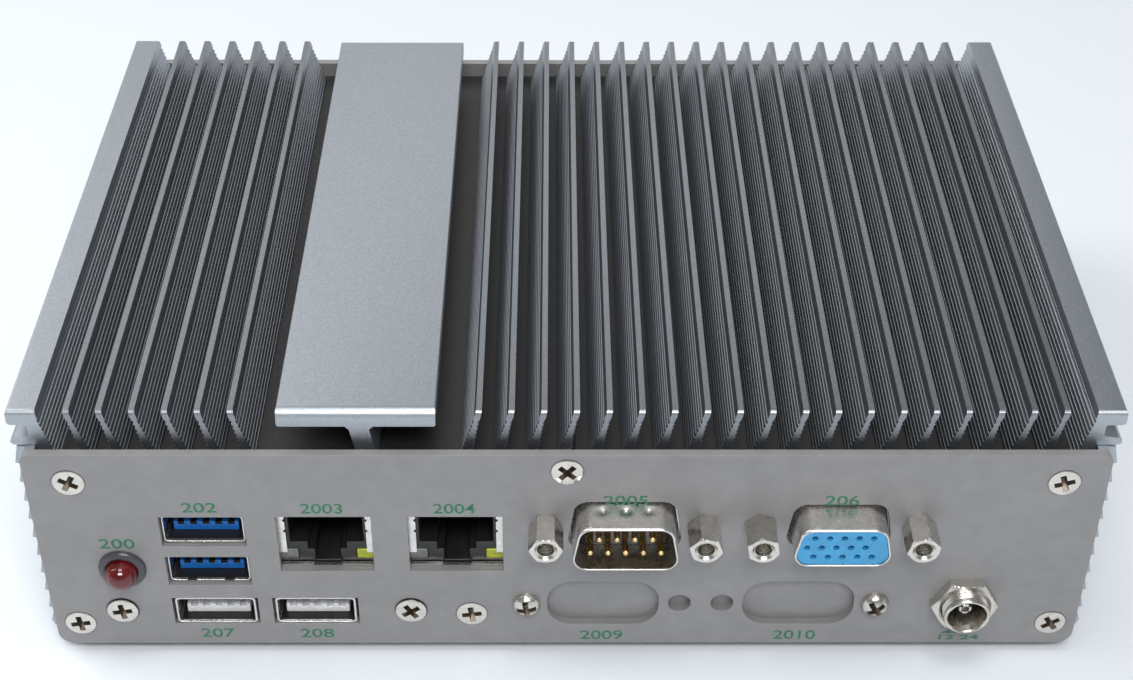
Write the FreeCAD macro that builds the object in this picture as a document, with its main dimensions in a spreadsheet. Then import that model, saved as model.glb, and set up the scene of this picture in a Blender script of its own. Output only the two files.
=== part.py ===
"""Fanless industrial computer: a finned aluminium case with a port panel.

The case is a leaning-fin heatsink on two louvred side extrusions, closed by a
front panel, a rear panel and a bottom plate.  The board hangs under the
heatsink with its ports facing down, so every socket is upside down.

Case coordinates: X runs across the width from the middle, Y runs back from the
front panel's outer face, Z runs up from the panel's bottom edge.  Every piece
is then placed with the middle of the overall box on the origin and the feet at
Z = 0.  All lengths are millimetres.
"""
import FreeCAD, Part
import math
import os
import Sketcher

doc = FreeCAD.newDocument("FanlessComputer")

# ---------------------------------------------------------------- dimensions
# alias, value, what it sets
DIMENSIONS = [
    ("case_width", 168.0, "width of the front and rear panels"),
    ("case_depth", 122.0, "front panel face to rear panel face"),
    ("panel_height", 41.4, "height of the front and rear panels"),
    ("panel_thickness", 1.5, "sheet thickness of both panels"),
    ("panel_low_corner", 2.6, "radius of the panels' lower corners"),
    ("panel_top_corner", 1.5, "radius of the panels' upper corners"),
    ("foot_height", 2.0, "gap between the case and the table"),
    ("foot_radius", 5.5, "radius of a rubber foot"),
    ("foot_inset", 15.0, "foot centre from the bottom plate's edges"),
    ("fit_gap", 0.1, "clearance between pieces that slide together"),
    ("thread_gap", 0.05, "radial clearance between a screw and its hole"),
    # heatsink cover
    ("rail_reach", 2.3, "rails stand this far out from the side walls"),
    ("floor_drop", 3.0, "floor between the fins, below the panels' top edge"),
    ("base_thickness", 4.4, "thickness of the heatsink's base"),
    ("fin_height", 9.2, "fins, rails and band above that floor"),
    ("fin_setback", 1.5, "fins and louvres stop this far short of the case's ends"),
    ("fin_inset", 6.9, "outermost fins' tips, from the side walls"),
    ("fin_tip", 0.9, "fin thickness at the tip"),
    ("fin_root", 2.0, "fin thickness at the root"),
    ("fin_run", 2.4, "how far a tip leans outward from its root"),
    ("fin_round", 0.9, "round on the front and rear top corners"),
    ("left_fins", 6, "fins left of the flat band"),
    ("right_fins", 19, "fins right of the flat band"),
    ("left_fin_start", -51.5, "tip of the first fin left of the band"),
    ("right_fin_start", -13.5, "tip of the first fin right of the band"),
    ("band_centre", -32.4, "middle of the flat band"),
    ("band_width", 24.4, "width of the flat band"),
    ("band_thickness", 2.9, "thickness of the flat band"),
    ("stem_thickness", 3.1, "thickness of the stem under the band"),
    ("stem_run", 1.1, "how far the stem leans"),
    ("rail_width", 4.5, "width of a rail's top"),
    ("rail_groove", 3.0, "depth of the groove in a rail's side"),
    ("lip_thickness", 2.6, "upper lip of a rail"),
    ("low_lip_rise", 3.9, "top of a rail's lower lip, above the floor"),
    ("low_lip_thickness", 1.25, "lower lip of a rail"),
    # side extrusions
    ("panel_overhang", 0.6, "panels reach this far past the side walls"),
    ("wall_thickness", 1.4, "thickness of a side wall"),
    ("wall_ease", 1.0, "slope at the foot of a side wall"),
    ("louvre_reach", 2.3, "louvres stand this far out from the side walls"),
    ("louvre_count", 10, "louvres on each side"),
    ("louvre_drop", 4.3, "top louvre's tip, below the panels' top edge"),
    ("louvre_last", 1.37, "height of the bottom louvre's tip"),
    ("louvre_thickness", 0.75, "thickness of a louvre"),
    ("ledge_width", 3.0, "ledge that carries the heatsink"),
    ("ledge_height", 2.5, "height of that ledge"),
    ("corner_block", 7.6, "side of the screw block at the bottom"),
    # flat-head screws
    ("flat_head_radius", 2.65, "radius of a flat head"),
    ("screw_radius", 1.45, "radius of a screw's shank"),
    ("screw_length", 8.0, "length of the panel screws"),
    ("short_screw_length", 4.0, "length of the bracket screws"),
    ("screw_clearance", 0.15, "radial clearance of a screw in a panel"),
    ("hole_run_out", 1.0, "a tapped hole goes this far past its screw"),
    ("top_screw_inset", 6.8, "upper corner screws, from the panels' sides"),
    ("top_screw_drop", 5.7, "upper corner screws, below the panels' top edge"),
    ("mid_screw_drop", 3.5, "upper middle screw, below the panels' top edge"),
    ("low_screw_inset", 4.05, "lower corner screws, from the panels' sides"),
    ("low_screw_height", 4.7, "height of the lower corner screws"),
    ("rising_screw_inset", 14.0, "bottom screws, from the panels' inner faces"),
    # network sockets
    ("network_left", -38.43, "middle of the left network socket"),
    ("network_right", -17.67, "middle of the right network socket"),
    ("network_opening_width", 15.0, "width of a network opening"),
    ("network_opening_height", 11.87, "height of a network opening"),
    ("network_opening_drop", 1.0, "network openings, below the main board"),
    ("network_width", 16.0, "width of a network socket"),
    ("network_height", 13.5, "height of a network socket"),
    ("network_depth", 18.0, "depth of a network socket"),
    ("plug_mouth_width", 11.8, "mouth for the network plug"),
    ("plug_mouth_height", 7.0, "height of that mouth"),
    ("plug_mouth_depth", 13.0, "depth of that mouth"),
    ("latch_width", 6.2, "slot for the plug's latch"),
    ("lens_width", 3.0, "width of an indicator lens"),
    ("lens_height", 2.0, "height of an indicator lens"),
    ("shield_sheet", 0.25, "sheet of the sockets' shields"),
    # stacked ports
    ("stack_centre", -57.6, "middle of the stacked ports"),
    ("stack_opening_width", 13.4, "width of the stacked ports' openings"),
    ("stack_opening_height", 6.25, "height of those openings"),
    ("stack_drop", 7.35, "lower edge of the upper opening, below the main board"),
    ("stack_pitch", 8.65, "distance between the two openings"),
    ("port_inner_width", 12.4, "inside width of a port"),
    ("port_inner_height", 5.1, "inside height of a port"),
    ("port_sheet", 0.4, "sheet of a port's shell"),
    ("port_depth", 15.0, "depth of a port"),
    ("tongue_thickness", 1.85, "thickness of a port's tongue"),
    ("tongue_width", 10.4, "width of a port's tongue"),
    ("tongue_setback", 1.6, "tongue behind the port's mouth"),
    # single ports
    ("single_left", -57.33, "middle of the left single port"),
    ("single_right", -41.0, "middle of the right single port"),
    ("single_opening_width", 14.0, "width of a single port's opening"),
    ("single_opening_low", 4.65, "lower edge of the single openings"),
    ("single_opening_height", 5.95, "height of the single openings"),
    ("bracket_screw_height", 7.83, "height of the bracket's screws"),
    ("bracket_screw_left", -72.57, "left bracket screw"),
    ("bracket_screw_right", -25.43, "right bracket screw"),
    ("bracket_sheet", 1.0, "sheet of the brackets and plates"),
    ("port_board_tail", 3.0, "port board reaches this far behind the ports"),
    ("head_proud", 0.35, "bracket screws stand this proud"),
    # serial plug and video socket
    ("serial_centre", 9.16, "middle of the serial plug"),
    ("video_centre", 43.1, "middle of the video socket"),
    ("shell_drop", 2.9, "both connectors' middles, below the main board"),
    ("jack_spacing", 24.99, "distance between jack screws"),
    ("jack_flats", 4.75, "jack screw across its flats"),
    ("jack_proud", 5.8, "jack screws stand this proud"),
    ("jack_bore", 1.42, "radius of a jack screw's thread"),
    ("plug_shell_width", 17.5, "serial shell's wide side"),
    ("plug_shell_height", 9.0, "serial shell's height"),
    ("plug_shell_proud", 5.6, "serial shell stands this proud"),
    ("socket_shell_width", 16.2, "video shell's wide side"),
    ("socket_shell_height", 7.9, "video shell's height"),
    ("socket_shell_proud", 5.3, "video shell stands this proud"),
    ("shell_slant", 1.45, "a shell narrows this much each side"),
    ("shell_corner", 2.4, "corner radius of a shell"),
    ("shell_sheet", 0.4, "sheet of the connector shells"),
    ("flange_width", 30.8, "width of a connector's flange"),
    ("flange_height", 12.2, "height of a connector's flange"),
    ("cutout_gap", 0.55, "gap between a shell and its cutout"),
    ("pin_pitch", 2.77, "serial pin pitch"),
    ("pin_rows", 2.84, "distance between the serial pin rows"),
    ("pin_radius", 0.5, "radius of a serial pin"),
    ("pin_proud", 5.0, "serial pins stand this proud"),
    ("contact_pitch", 2.29, "video contact pitch"),
    ("contact_rows", 1.98, "distance between video contact rows"),
    ("contact_radius", 0.5, "radius of a video contact's hole"),
    # blanked slots
    ("slot_left", 5.95, "middle of the left blanked slot"),
    ("slot_right", 37.9, "middle of the right blanked slot"),
    ("slot_height_middle", 9.4, "height of the blanked slots' middles"),
    ("slot_width", 18.2, "width of a blanked slot"),
    ("slot_height", 9.8, "height of a blanked slot"),
    ("slot_corner", 4.2, "corner radius of a blanked slot"),
    ("slot_hole_radius", 1.85, "radius of the empty jack screw holes"),
    ("pan_head_radius", 2.35, "radius of a pan head"),
    ("pan_head_height", 1.85, "height of a pan head"),
    ("tray_screw_across", -15.53, "drive tray's front screw"),
    ("tray_screw_height", 6.83, "height of that screw"),
    # drive light
    ("light_inset", 12.7, "drive light, from the panel's left side"),
    ("light_height", 17.45, "height of the drive light"),
    ("light_radius", 2.5, "radius of the light's dome"),
    ("light_proud", 4.2, "dome stands this proud"),
    ("bezel_radius", 3.8, "radius of the light's bezel"),
    ("bezel_proud", 1.0, "bezel stands this proud"),
    ("bezel_sleeve", 3.0, "radius of the bezel's sleeve"),
    # power jack
    ("jack_inset", 19.17, "power jack, from the panel's right side"),
    ("jack_height", 10.03, "height of the power jack"),
    ("barrel_radius", 3.75, "radius of the threaded barrel"),
    ("barrel_bore", 3.1, "radius of the plug's bore"),
    ("barrel_proud", 4.05, "barrel stands this proud"),
    ("barrel_inside", 9.0, "barrel's length behind the panel's face"),
    ("base_tail", 1.0, "insulating base reaches this far behind the barrel"),
    ("pin_tail", 3.0, "centre pin reaches this far behind the barrel"),
    ("barrel_bore_depth", 9.0, "depth of the plug's bore"),
    ("jack_nut_flats", 9.6, "nut across its flats"),
    ("jack_nut_thickness", 1.93, "thickness of the nut"),
    ("centre_pin_radius", 1.05, "radius of the centre pin"),
    ("centre_pin_setback", 2.0, "pin's tip behind the barrel's mouth"),
    # power button, on the rear panel
    ("button_inset", 22.0, "power button, from the panel's right side"),
    ("button_height", 22.0, "height of the power button"),
    ("button_radius", 4.6, "radius of the button's cap"),
    ("button_proud", 2.4, "cap stands this proud"),
    ("button_bezel_radius", 7.0, "radius of the button's bezel"),
    ("button_bezel_proud", 1.4, "bezel stands this proud"),
    ("button_thread_radius", 6.0, "radius of the button's threaded body"),
    ("button_body_length", 15.0, "length of the button's body"),
    ("button_nut_flats", 14.0, "button's nut across its flats"),
    ("button_nut_thickness", 2.2, "thickness of the button's nut"),
    ("button_travel", 1.0, "travel of the button"),
    # board and what it carries
    ("board_drop", 4.4, "underside of the main board, below the heatsink"),
    ("board_thickness", 1.6, "thickness of the main board"),
    ("board_width", 146.0, "width of the main board"),
    ("board_length", 102.0, "length of the main board"),
    ("board_front", 4.0, "front edge of the main board"),
    ("board_hole_inset", 4.0, "board screw from the board's edges"),
    ("board_screw_grip", 2.0, "board screws reach this far into the heatsink"),
    ("spacer_radius", 3.0, "radius of a board spacer"),
    ("processor_size", 25.0, "side of the processor's carrier"),
    ("processor_across", 8.0, "middle of the processor"),
    ("processor_back", 58.0, "processor behind the front face"),
    ("carrier_thickness", 0.9, "thickness of the processor's carrier"),
    ("die_size", 13.0, "side of the processor's die"),
    ("die_thickness", 0.6, "thickness of the processor's die"),
    ("pad_thickness", 0.4, "thickness of the thermal pad"),
    ("spreader_size", 44.0, "side of the copper heat spreader"),
    ("memory_width", 67.6, "length of the memory module"),
    ("memory_length", 30.0, "width of the memory module"),
    ("memory_across", -30.0, "middle of the memory module"),
    ("memory_front", 48.0, "front edge of the memory module"),
    ("memory_thickness", 1.2, "thickness of the memory module"),
    ("memory_drop", 3.0, "memory module below the board"),
    ("memory_socket_depth", 6.0, "depth of the memory socket"),
    ("cell_radius", 10.0, "radius of the coin cell"),
    ("cell_thickness", 3.2, "thickness of the coin cell"),
    ("cell_across", 48.0, "middle of the coin cell"),
    ("cell_back", 70.0, "coin cell behind the front face"),
    # drive and bottom
    ("drive_width", 69.85, "width of the solid-state drive"),
    ("drive_length", 100.0, "length of the solid-state drive"),
    ("drive_thickness", 7.0, "thickness of the solid-state drive"),
    ("drive_across", 14.0, "middle of the drive"),
    ("drive_rear_gap", 2.5, "drive in front of the rear panel"),
    ("mount_spacing", 75.0, "bolt pattern in the bottom plate"),
    ("mount_thread", 2.0, "radius of a mounting thread"),
    ("mount_boss_radius", 3.6, "radius of a pressed-in mounting nut"),
    ("mount_boss_height", 2.4, "height of a pressed-in mounting nut"),
]

sheet = doc.addObject("Spreadsheet::Sheet", "Dims")
for row, (alias, value, note) in enumerate(DIMENSIONS, start=1):
    sheet.set(f"A{row}", alias.replace("_", " "))
    sheet.set(f"B{row}", str(value))
    sheet.set(f"C{row}", note)
    sheet.setAlias(f"B{row}", alias)
doc.recompute()


class Size:
    """A length that keeps the spreadsheet expression it comes from."""

    def __init__(self, text, value):
        self.text = text
        self.value = value

    def _join(self, sign, other, value):
        return Size(f"({self.text} {sign} {other.text})", value)

    def __add__(self, other):
        other = size(other)
        return self._join("+", other, self.value + other.value)

    def __sub__(self, other):
        other = size(other)
        return self._join("-", other, self.value - other.value)

    def __mul__(self, other):
        other = size(other)
        return self._join("*", other, self.value * other.value)

    def __truediv__(self, other):
        other = size(other)
        return self._join("/", other, self.value / other.value)

    def __radd__(self, other):
        return size(other) + self

    def __rsub__(self, other):
        return size(other) - self

    def __rmul__(self, other):
        return size(other) * self

    def __neg__(self):
        return size(0) - self


def size(number):
    """Turn a plain number into a Size, and leave a Size as it is."""
    if isinstance(number, Size):
        return number
    return Size(repr(float(number)), float(number))


class Dimensions:
    """Gives each alias of the sheet as a Size: d.case_width and so on."""

    def __getattr__(self, alias):
        return Size(f"Dims.{alias}", float(sheet.get(alias)))


d = Dimensions()

# ------------------------------------------------------------ frame of the part
CASE_Y = -(d.case_depth + d.button_proud - d.jack_proud) / 2
CASE_Z = d.foot_height
AXES = {"X": (1, 0, 0), "Y": (0, 1, 0), "Z": (0, 0, 1)}
nodes = {}


def bind(target, name, value):
    """Bind one property of an object to a Size."""
    target.setExpression(name, size(value).text)


def place(target, x=0, y=0, z=0):
    """Put an object at case coordinates x, y, z."""
    bind(target, "Placement.Base.x", size(x))
    bind(target, "Placement.Base.y", CASE_Y + y)
    bind(target, "Placement.Base.z", CASE_Z + z)


def keep(label, target):
    """List a finished object as one of the part's nodes."""
    target.Label = label
    nodes[label] = target
    return target


class Piece:
    """A PartDesign body that is built up from sketches in case coordinates.

    A sketch lies on the XZ, XY or YZ plane at a distance `start` along that
    plane's own axis, and is padded or pocketed from there in the axis' plus
    direction.
    """

    PLANES = {"XZ": ("XZ_Plane", -1), "XY": ("XY_Plane", 1), "YZ": ("YZ_Plane", 1)}

    def __init__(self, label, x=0, y=0, z=0):
        self.body = doc.addObject("PartDesign::Body", label)
        self.count = 0
        place(self.body, x, y, z)
        keep(label, self.body)

    def sketch(self, plane, start=0):
        """Attach an empty sketch to one of the body's own planes."""
        role, side = self.PLANES[plane]
        self.count += 1
        name = f"{self.body.Name}_sketch_{self.count}"
        drawing = self.body.newObject("Sketcher::SketchObject", name)
        origin = [f for f in self.body.Origin.OriginFeatures if f.Role == role]
        drawing.AttachmentSupport = [(origin[0], "")]
        drawing.MapMode = "FlatFace"
        bind(drawing, "AttachmentOffset.Base.z", size(start) * side)
        return drawing

    def outline(self, drawing, points):
        """Draw a closed outline whose corners are bound to the sheet."""
        corners = [(size(a), size(b)) for a, b in points]
        places = [FreeCAD.Vector(a.value, b.value, 0) for a, b in corners]
        first = drawing.GeometryCount
        for index, start in enumerate(places):
            end = places[(index + 1) % len(places)]
            drawing.addGeometry(Part.LineSegment(start, end), False)
        for index in range(len(places)):
            line = first + index
            following = first + (index + 1) % len(places)
            drawing.addConstraint(Sketcher.Constraint("Coincident", line, 2, following, 1))
        for index, (across, up) in enumerate(corners):
            line = first + index
            self.locate(drawing, line, 1, across, up)

    def locate(self, drawing, geometry, point, across, up):
        """Fix one point of the drawing at its distances from the origin."""
        for kind, distance in (("DistanceX", across), ("DistanceY", up)):
            constraint = Sketcher.Constraint(kind, -1, 1, geometry, point, distance.value)
            number = drawing.addConstraint(constraint)
            name = f"{kind}_{geometry}_{point}"
            drawing.renameConstraint(number, name)
            drawing.setExpression(f"Constraints.{name}", distance.text)

    def circles(self, drawing, centres, radius):
        """Draw circles of one radius round the given centres."""
        radius = size(radius)
        for across, up in centres:
            across, up = size(across), size(up)
            middle = FreeCAD.Vector(across.value, up.value, 0)
            circle = Part.Circle(middle, FreeCAD.Vector(0, 0, 1), radius.value)
            geometry = drawing.addGeometry(circle, False)
            self.locate(drawing, geometry, 3, across, up)
            constraint = Sketcher.Constraint("Radius", geometry, radius.value)
            number = drawing.addConstraint(constraint)
            drawing.renameConstraint(number, f"Radius_{geometry}")
            drawing.setExpression(f"Constraints.Radius_{geometry}", radius.text)

    def feature(self, kind, drawing, length, plane):
        """Pad or pocket a drawing toward the plane axis' plus side."""
        self.count += 1
        name = f"{self.body.Name}_{kind.lower()}_{self.count}"
        made = self.body.newObject(f"PartDesign::{kind}", name)
        made.Profile = drawing
        bind(made, "Length", length)
        toward_minus = plane == "XZ"
        made.Reversed = toward_minus if kind == "Pad" else not toward_minus
        return made

    def pad(self, plane, points, start, length):
        """Add a prism."""
        drawing = self.sketch(plane, start)
        self.outline(drawing, points)
        return self.feature("Pad", drawing, length, plane)

    def pad_round(self, plane, centres, radius, start, length):
        """Add one or more straight cylinders."""
        drawing = self.sketch(plane, start)
        self.circles(drawing, centres, radius)
        return self.feature("Pad", drawing, length, plane)

    def pocket(self, plane, outlines, start, length):
        """Cut one or more prisms, given as a list of outlines."""
        drawing = self.sketch(plane, start)
        for points in outlines:
            self.outline(drawing, points)
        return self.feature("Pocket", drawing, length, plane)

    def pocket_round(self, plane, centres, radius, start, length):
        """Cut one or more straight round holes."""
        drawing = self.sketch(plane, start)
        self.circles(drawing, centres, radius)
        return self.feature("Pocket", drawing, length, plane)

    def turn(self, points, axis="Y"):
        """Revolve (along, radius) points round the body's own Y or Z axis."""
        drawing = self.sketch("YZ")
        if axis == "Y":
            self.outline(drawing, points)
        else:
            self.outline(drawing, [(radius, along) for along, radius in points])
        self.count += 1
        made = self.body.newObject("PartDesign::Revolution", f"{self.body.Name}_turn_{self.count}")
        made.Profile = drawing
        made.ReferenceAxis = (drawing, ["H_Axis" if axis == "Y" else "V_Axis"])
        made.Angle = 360
        return made

    def row(self, features, pitch, occurrences, backwards=False, along="X"):
        """Repeat features along X or Z."""
        self.count += 1
        made = self.body.newObject("PartDesign::LinearPattern", f"{self.body.Name}_row_{self.count}")
        made.Originals = features
        role = {"X": "X_Axis", "Z": "Z_Axis"}[along]
        axis = [f for f in self.body.Origin.OriginFeatures if f.Role == role][0]
        made.Direction = (axis, [""])
        made.Reversed = backwards
        bind(made, "Length", size(pitch) * (size(occurrences) - 1))
        bind(made, "Occurrences", occurrences)
        self.body.Tip = made
        return made

    def round_edges(self, radius, along, where):
        """Fillet the straight edges along an axis whose middle, in case
        coordinates, passes `where`.
        """
        doc.recompute()
        direction = FreeCAD.Vector(*AXES[along])
        base = self.body.Tip
        shape = base.Shape
        names = []
        for number, edge in enumerate(shape.Edges, start=1):
            straight = edge.Curve.TypeId == "Part::GeomLine"
            if not straight or abs(edge.tangentAt(edge.FirstParameter).dot(direction)) < 0.999:
                continue
            middle = edge.CenterOfMass
            if where(middle.x, middle.y, middle.z):
                names.append(f"Edge{number}")
        self.count += 1
        made = self.body.newObject("PartDesign::Fillet", f"{self.body.Name}_round_{self.count}")
        made.Base = (base, names)
        bind(made, "Radius", radius)
        self.body.Tip = made
        return made


def box(across_low, up_low, across_high, up_high):
    """The four corners of an upright rectangle."""
    return [
        (across_low, up_low),
        (across_high, up_low),
        (across_high, up_high),
        (across_low, up_high),
    ]


def middle_box(centre, low, width, height):
    """A rectangle given by its middle, its lower edge and its two sizes."""
    half = size(width) / 2
    return box(centre - half, low, centre + half, low + height)


def hexagon(across, up, flats):
    """A hexagon with its flats up and down and corners left and right."""
    reach = size(flats) / math.sqrt(3)
    half = size(flats) / 2
    return [
        (across + reach, up),
        (across + reach / 2, up + half),
        (across - reach / 2, up + half),
        (across - reach, up),
        (across - reach / 2, up - half),
        (across + reach / 2, up - half),
    ]


def shell_outline(centre, middle, width, height, slant):
    """The tapered outline of a connector's shell, wide side down."""
    half = size(width) / 2
    rise = size(height) / 2
    return [
        (centre - half, middle - rise),
        (centre + half, middle - rise),
        (centre + half - slant, middle + rise),
        (centre - half + slant, middle + rise),
    ]


def group(label, pattern, places, turns=()):
    """Copy one piece to each place, as one node, each turned round Y by `turns`."""
    doc.recompute()
    copies = []
    for number, (x, y, z) in enumerate(places):
        shape = pattern.Shape.copy()
        if turns:
            pivot = FreeCAD.Vector(0, 0, CASE_Z.value)
            shape.rotate(pivot, FreeCAD.Vector(*AXES["Y"]), turns[number])
        move = FreeCAD.Vector(size(x).value, size(y).value, size(z).value)
        shape.translate(move)
        copies.append(shape)
    made = doc.addObject("Part::Feature", label)
    made.Shape = Part.makeCompound(copies)
    return keep(label, made)


def spare(piece):
    """Take a piece that only serves as a pattern off the list of nodes."""
    nodes.pop(piece.body.Label)
    return piece.body


# ------------------------------------------------------------------- places
rear_face = d.case_depth
inside_front = d.panel_thickness
inside_rear = d.case_depth - d.panel_thickness
inside_length = inside_rear - inside_front
sink_floor = d.panel_height - d.floor_drop
sink_underside = sink_floor - d.base_thickness
sink_top = sink_floor + d.fin_height
board_underside = sink_underside - d.board_drop
board_top = board_underside + d.board_thickness
board_back = d.board_front + d.board_length
half_jack = d.jack_spacing / 2
half_panel = d.case_width / 2
wall_outside = half_panel - d.panel_overhang
wall_inside = wall_outside - d.wall_thickness
rail_edge = wall_outside + d.rail_reach
louvre_edge = wall_outside + d.louvre_reach
louvre_first = d.panel_height - d.louvre_drop
louvre_pitch = (louvre_first - d.louvre_last) / (d.louvre_count - 1)
sheet_floor = d.panel_thickness
low_lip_top = sink_floor + d.low_lip_rise
low_lip_bottom = low_lip_top - d.low_lip_thickness
shell_height = board_underside - d.shell_drop
network_low = board_underside - d.network_height
network_opening_low = board_underside - d.network_opening_drop - d.network_opening_height
stack_upper_low = board_underside - d.stack_drop
stack_lower_low = stack_upper_low - d.stack_pitch
light_across = d.light_inset - half_panel
jack_across = half_panel - d.jack_inset
button_across = half_panel - d.button_inset
outer_fin = wall_outside - d.fin_inset
drive_front = inside_rear - d.drive_rear_gap - d.drive_length
top_screw_across = half_panel - d.top_screw_inset
top_screw_height = d.panel_height - d.top_screw_drop
low_screw_across = half_panel - d.low_screw_inset
rising_screw_across = wall_outside - d.corner_block / 2 - d.fit_gap * 8
rising_screw_rows = [
    inside_front + d.rising_screw_inset,
    inside_rear - d.rising_screw_inset,
]

panel_screws = [
    (-top_screw_across, top_screw_height),
    (top_screw_across, top_screw_height),
    (size(0), d.panel_height - d.mid_screw_drop),
    (-low_screw_across, d.low_screw_height),
    (low_screw_across, d.low_screw_height),
]
bracket_screws = [
    (d.bracket_screw_left, d.bracket_screw_height),
    (d.bracket_screw_right, d.bracket_screw_height),
]
tray_screw = (d.tray_screw_across, d.tray_screw_height)
shell_centres = [d.serial_centre, d.video_centre]
jack_places = [
    (centre + side * half_jack, shell_height) for centre in shell_centres for side in (-1, 1)
]
pan_places = [
    (d.slot_left - half_jack, d.slot_height_middle),
    (d.slot_right + half_jack, d.slot_height_middle),
]
empty_places = [
    (d.slot_left + half_jack, d.slot_height_middle),
    (d.slot_right - half_jack, d.slot_height_middle),
]
board_screws = [
    (side * (d.board_width / 2 - d.board_hole_inset), edge)
    for side in (-1, 1)
    for edge in (d.board_front + 3 * d.board_hole_inset, board_back - d.board_hole_inset)
]


# ------------------------------------------------------------------ heatsink
def rail_outline(side):
    """End view of one rail: upper lip, side groove, lower lip and inner flank."""
    edge = rail_edge
    web = edge - d.rail_groove
    inner = edge - d.rail_width
    flank = inner - d.fin_run
    lip_low = sink_top - d.lip_thickness
    ease = d.lip_thickness / 5
    points = [
        (flank, sink_floor - d.fit_gap),
        (wall_inside - d.fit_gap, sink_floor - d.fit_gap),
        (wall_inside - d.fit_gap, low_lip_bottom),
        (edge - ease * 2, low_lip_bottom),
        (edge, low_lip_bottom + ease),
        (edge, low_lip_top),
        (web, low_lip_top + ease),
        (web, lip_low),
        (edge - ease, lip_low),
        (edge, lip_low + ease),
        (edge, sink_top - ease),
        (edge - ease, sink_top),
        (inner, sink_top),
    ]
    return [(side * across, up) for across, up in points]


def fin_outline(tip, side):
    """End view of one fin, which leans outward toward `side`."""
    root = tip - side * d.fin_run
    return [
        (root - d.fin_root / 2, sink_floor - d.fit_gap),
        (root + d.fin_root / 2, sink_floor - d.fit_gap),
        (tip + d.fin_tip / 2, sink_top),
        (tip - d.fin_tip / 2, sink_top),
    ]


def make_heatsink():
    """One extrusion: base, two rails, leaning fins and a flat band on a stem."""
    sink = Piece("heatsink_cover")
    half_base = wall_inside - d.fit_gap
    base = box(-half_base, sink_underside, half_base, sink_floor)
    sink.pad("XZ", base, inside_front, inside_length)
    fin_start = inside_front + d.fin_setback
    fin_length = inside_length - 2 * d.fin_setback
    for side in (-1, 1):
        sink.pad("XZ", rail_outline(side), fin_start, fin_length)
    stem_top = d.band_centre + d.stem_run / 3
    stem_root = stem_top + d.stem_run
    band_low = sink_top - d.band_thickness
    stem = [
        (stem_root - d.stem_thickness / 2, sink_floor - d.fit_gap),
        (stem_root + d.stem_thickness / 2, sink_floor - d.fit_gap),
        (stem_top + d.stem_thickness / 2, band_low + d.fit_gap),
        (stem_top - d.stem_thickness / 2, band_low + d.fit_gap),
    ]
    sink.pad("XZ", stem, fin_start, fin_length)
    band = middle_box(d.band_centre, band_low, d.band_width, d.band_thickness)
    sink.pad("XZ", band, fin_start, fin_length)
    fin = sink.pad("XZ", fin_outline(d.left_fin_start, -1), fin_start, fin_length)
    left_pitch = (outer_fin + d.left_fin_start) / (d.left_fins - 1)
    sink.row([fin], left_pitch, d.left_fins, backwards=True)
    fin = sink.pad("XZ", fin_outline(d.right_fin_start, 1), fin_start, fin_length)
    right_pitch = (outer_fin - d.right_fin_start) / (d.right_fins - 1)
    sink.row([fin], right_pitch, d.right_fins)
    round_fin_ends(sink, fin_start, fin_length)
    ends = [(across, up) for across, up in panel_screws[:3]]
    hole_depth = d.screw_length + d.hole_run_out
    hole_radius = d.screw_radius + d.thread_gap
    sink.pocket_round("XZ", ends, hole_radius, inside_front, hole_depth)
    sink.pocket_round("XZ", ends, hole_radius, inside_rear - hole_depth, hole_depth)
    sink.pocket_round("XY", board_screws, hole_radius, sink_underside, d.fin_run)


def round_fin_ends(sink, start, length):
    """Round the front and rear top corners of everything above the base."""
    steps = 4
    top = sink_top
    over = d.fin_round
    for end, way in ((start, 1), (start + length, -1)):
        points = [(end - way * over, top - d.fin_round)]
        for step in range(steps + 1):
            angle = math.pi / 2 * step / steps
            back = d.fin_round * (1 - math.cos(angle))
            points.append((end + way * back, top - d.fin_round * (1 - math.sin(angle))))
        points.append((end + way * d.fin_round, top + over))
        points.append((end - way * over, top + over))
        drawing = sink.sketch("YZ")
        sink.outline(drawing, points)
        cut = sink.feature("Pocket", drawing, rail_edge * 3, "YZ")
        cut.Midplane = True


# ----------------------------------------------------------- side extrusions
def louvre_outline(side, tip):
    """End view of one drooping louvre with the slot behind it."""
    reach = louvre_edge
    inner = reach - d.louvre_thickness
    root = wall_outside - d.fit_gap
    rise = louvre_pitch
    points = [
        (root, tip + rise * 0.94),
        (root, tip + rise * 0.72),
        (wall_outside + (inner - wall_outside) * 0.45, tip + rise * 0.65),
        (inner, tip),
        (reach, tip + d.louvre_thickness / 3),
        (reach - d.louvre_thickness, tip + rise * 0.9),
    ]
    return [(side * across, up) for across, up in points]


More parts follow.
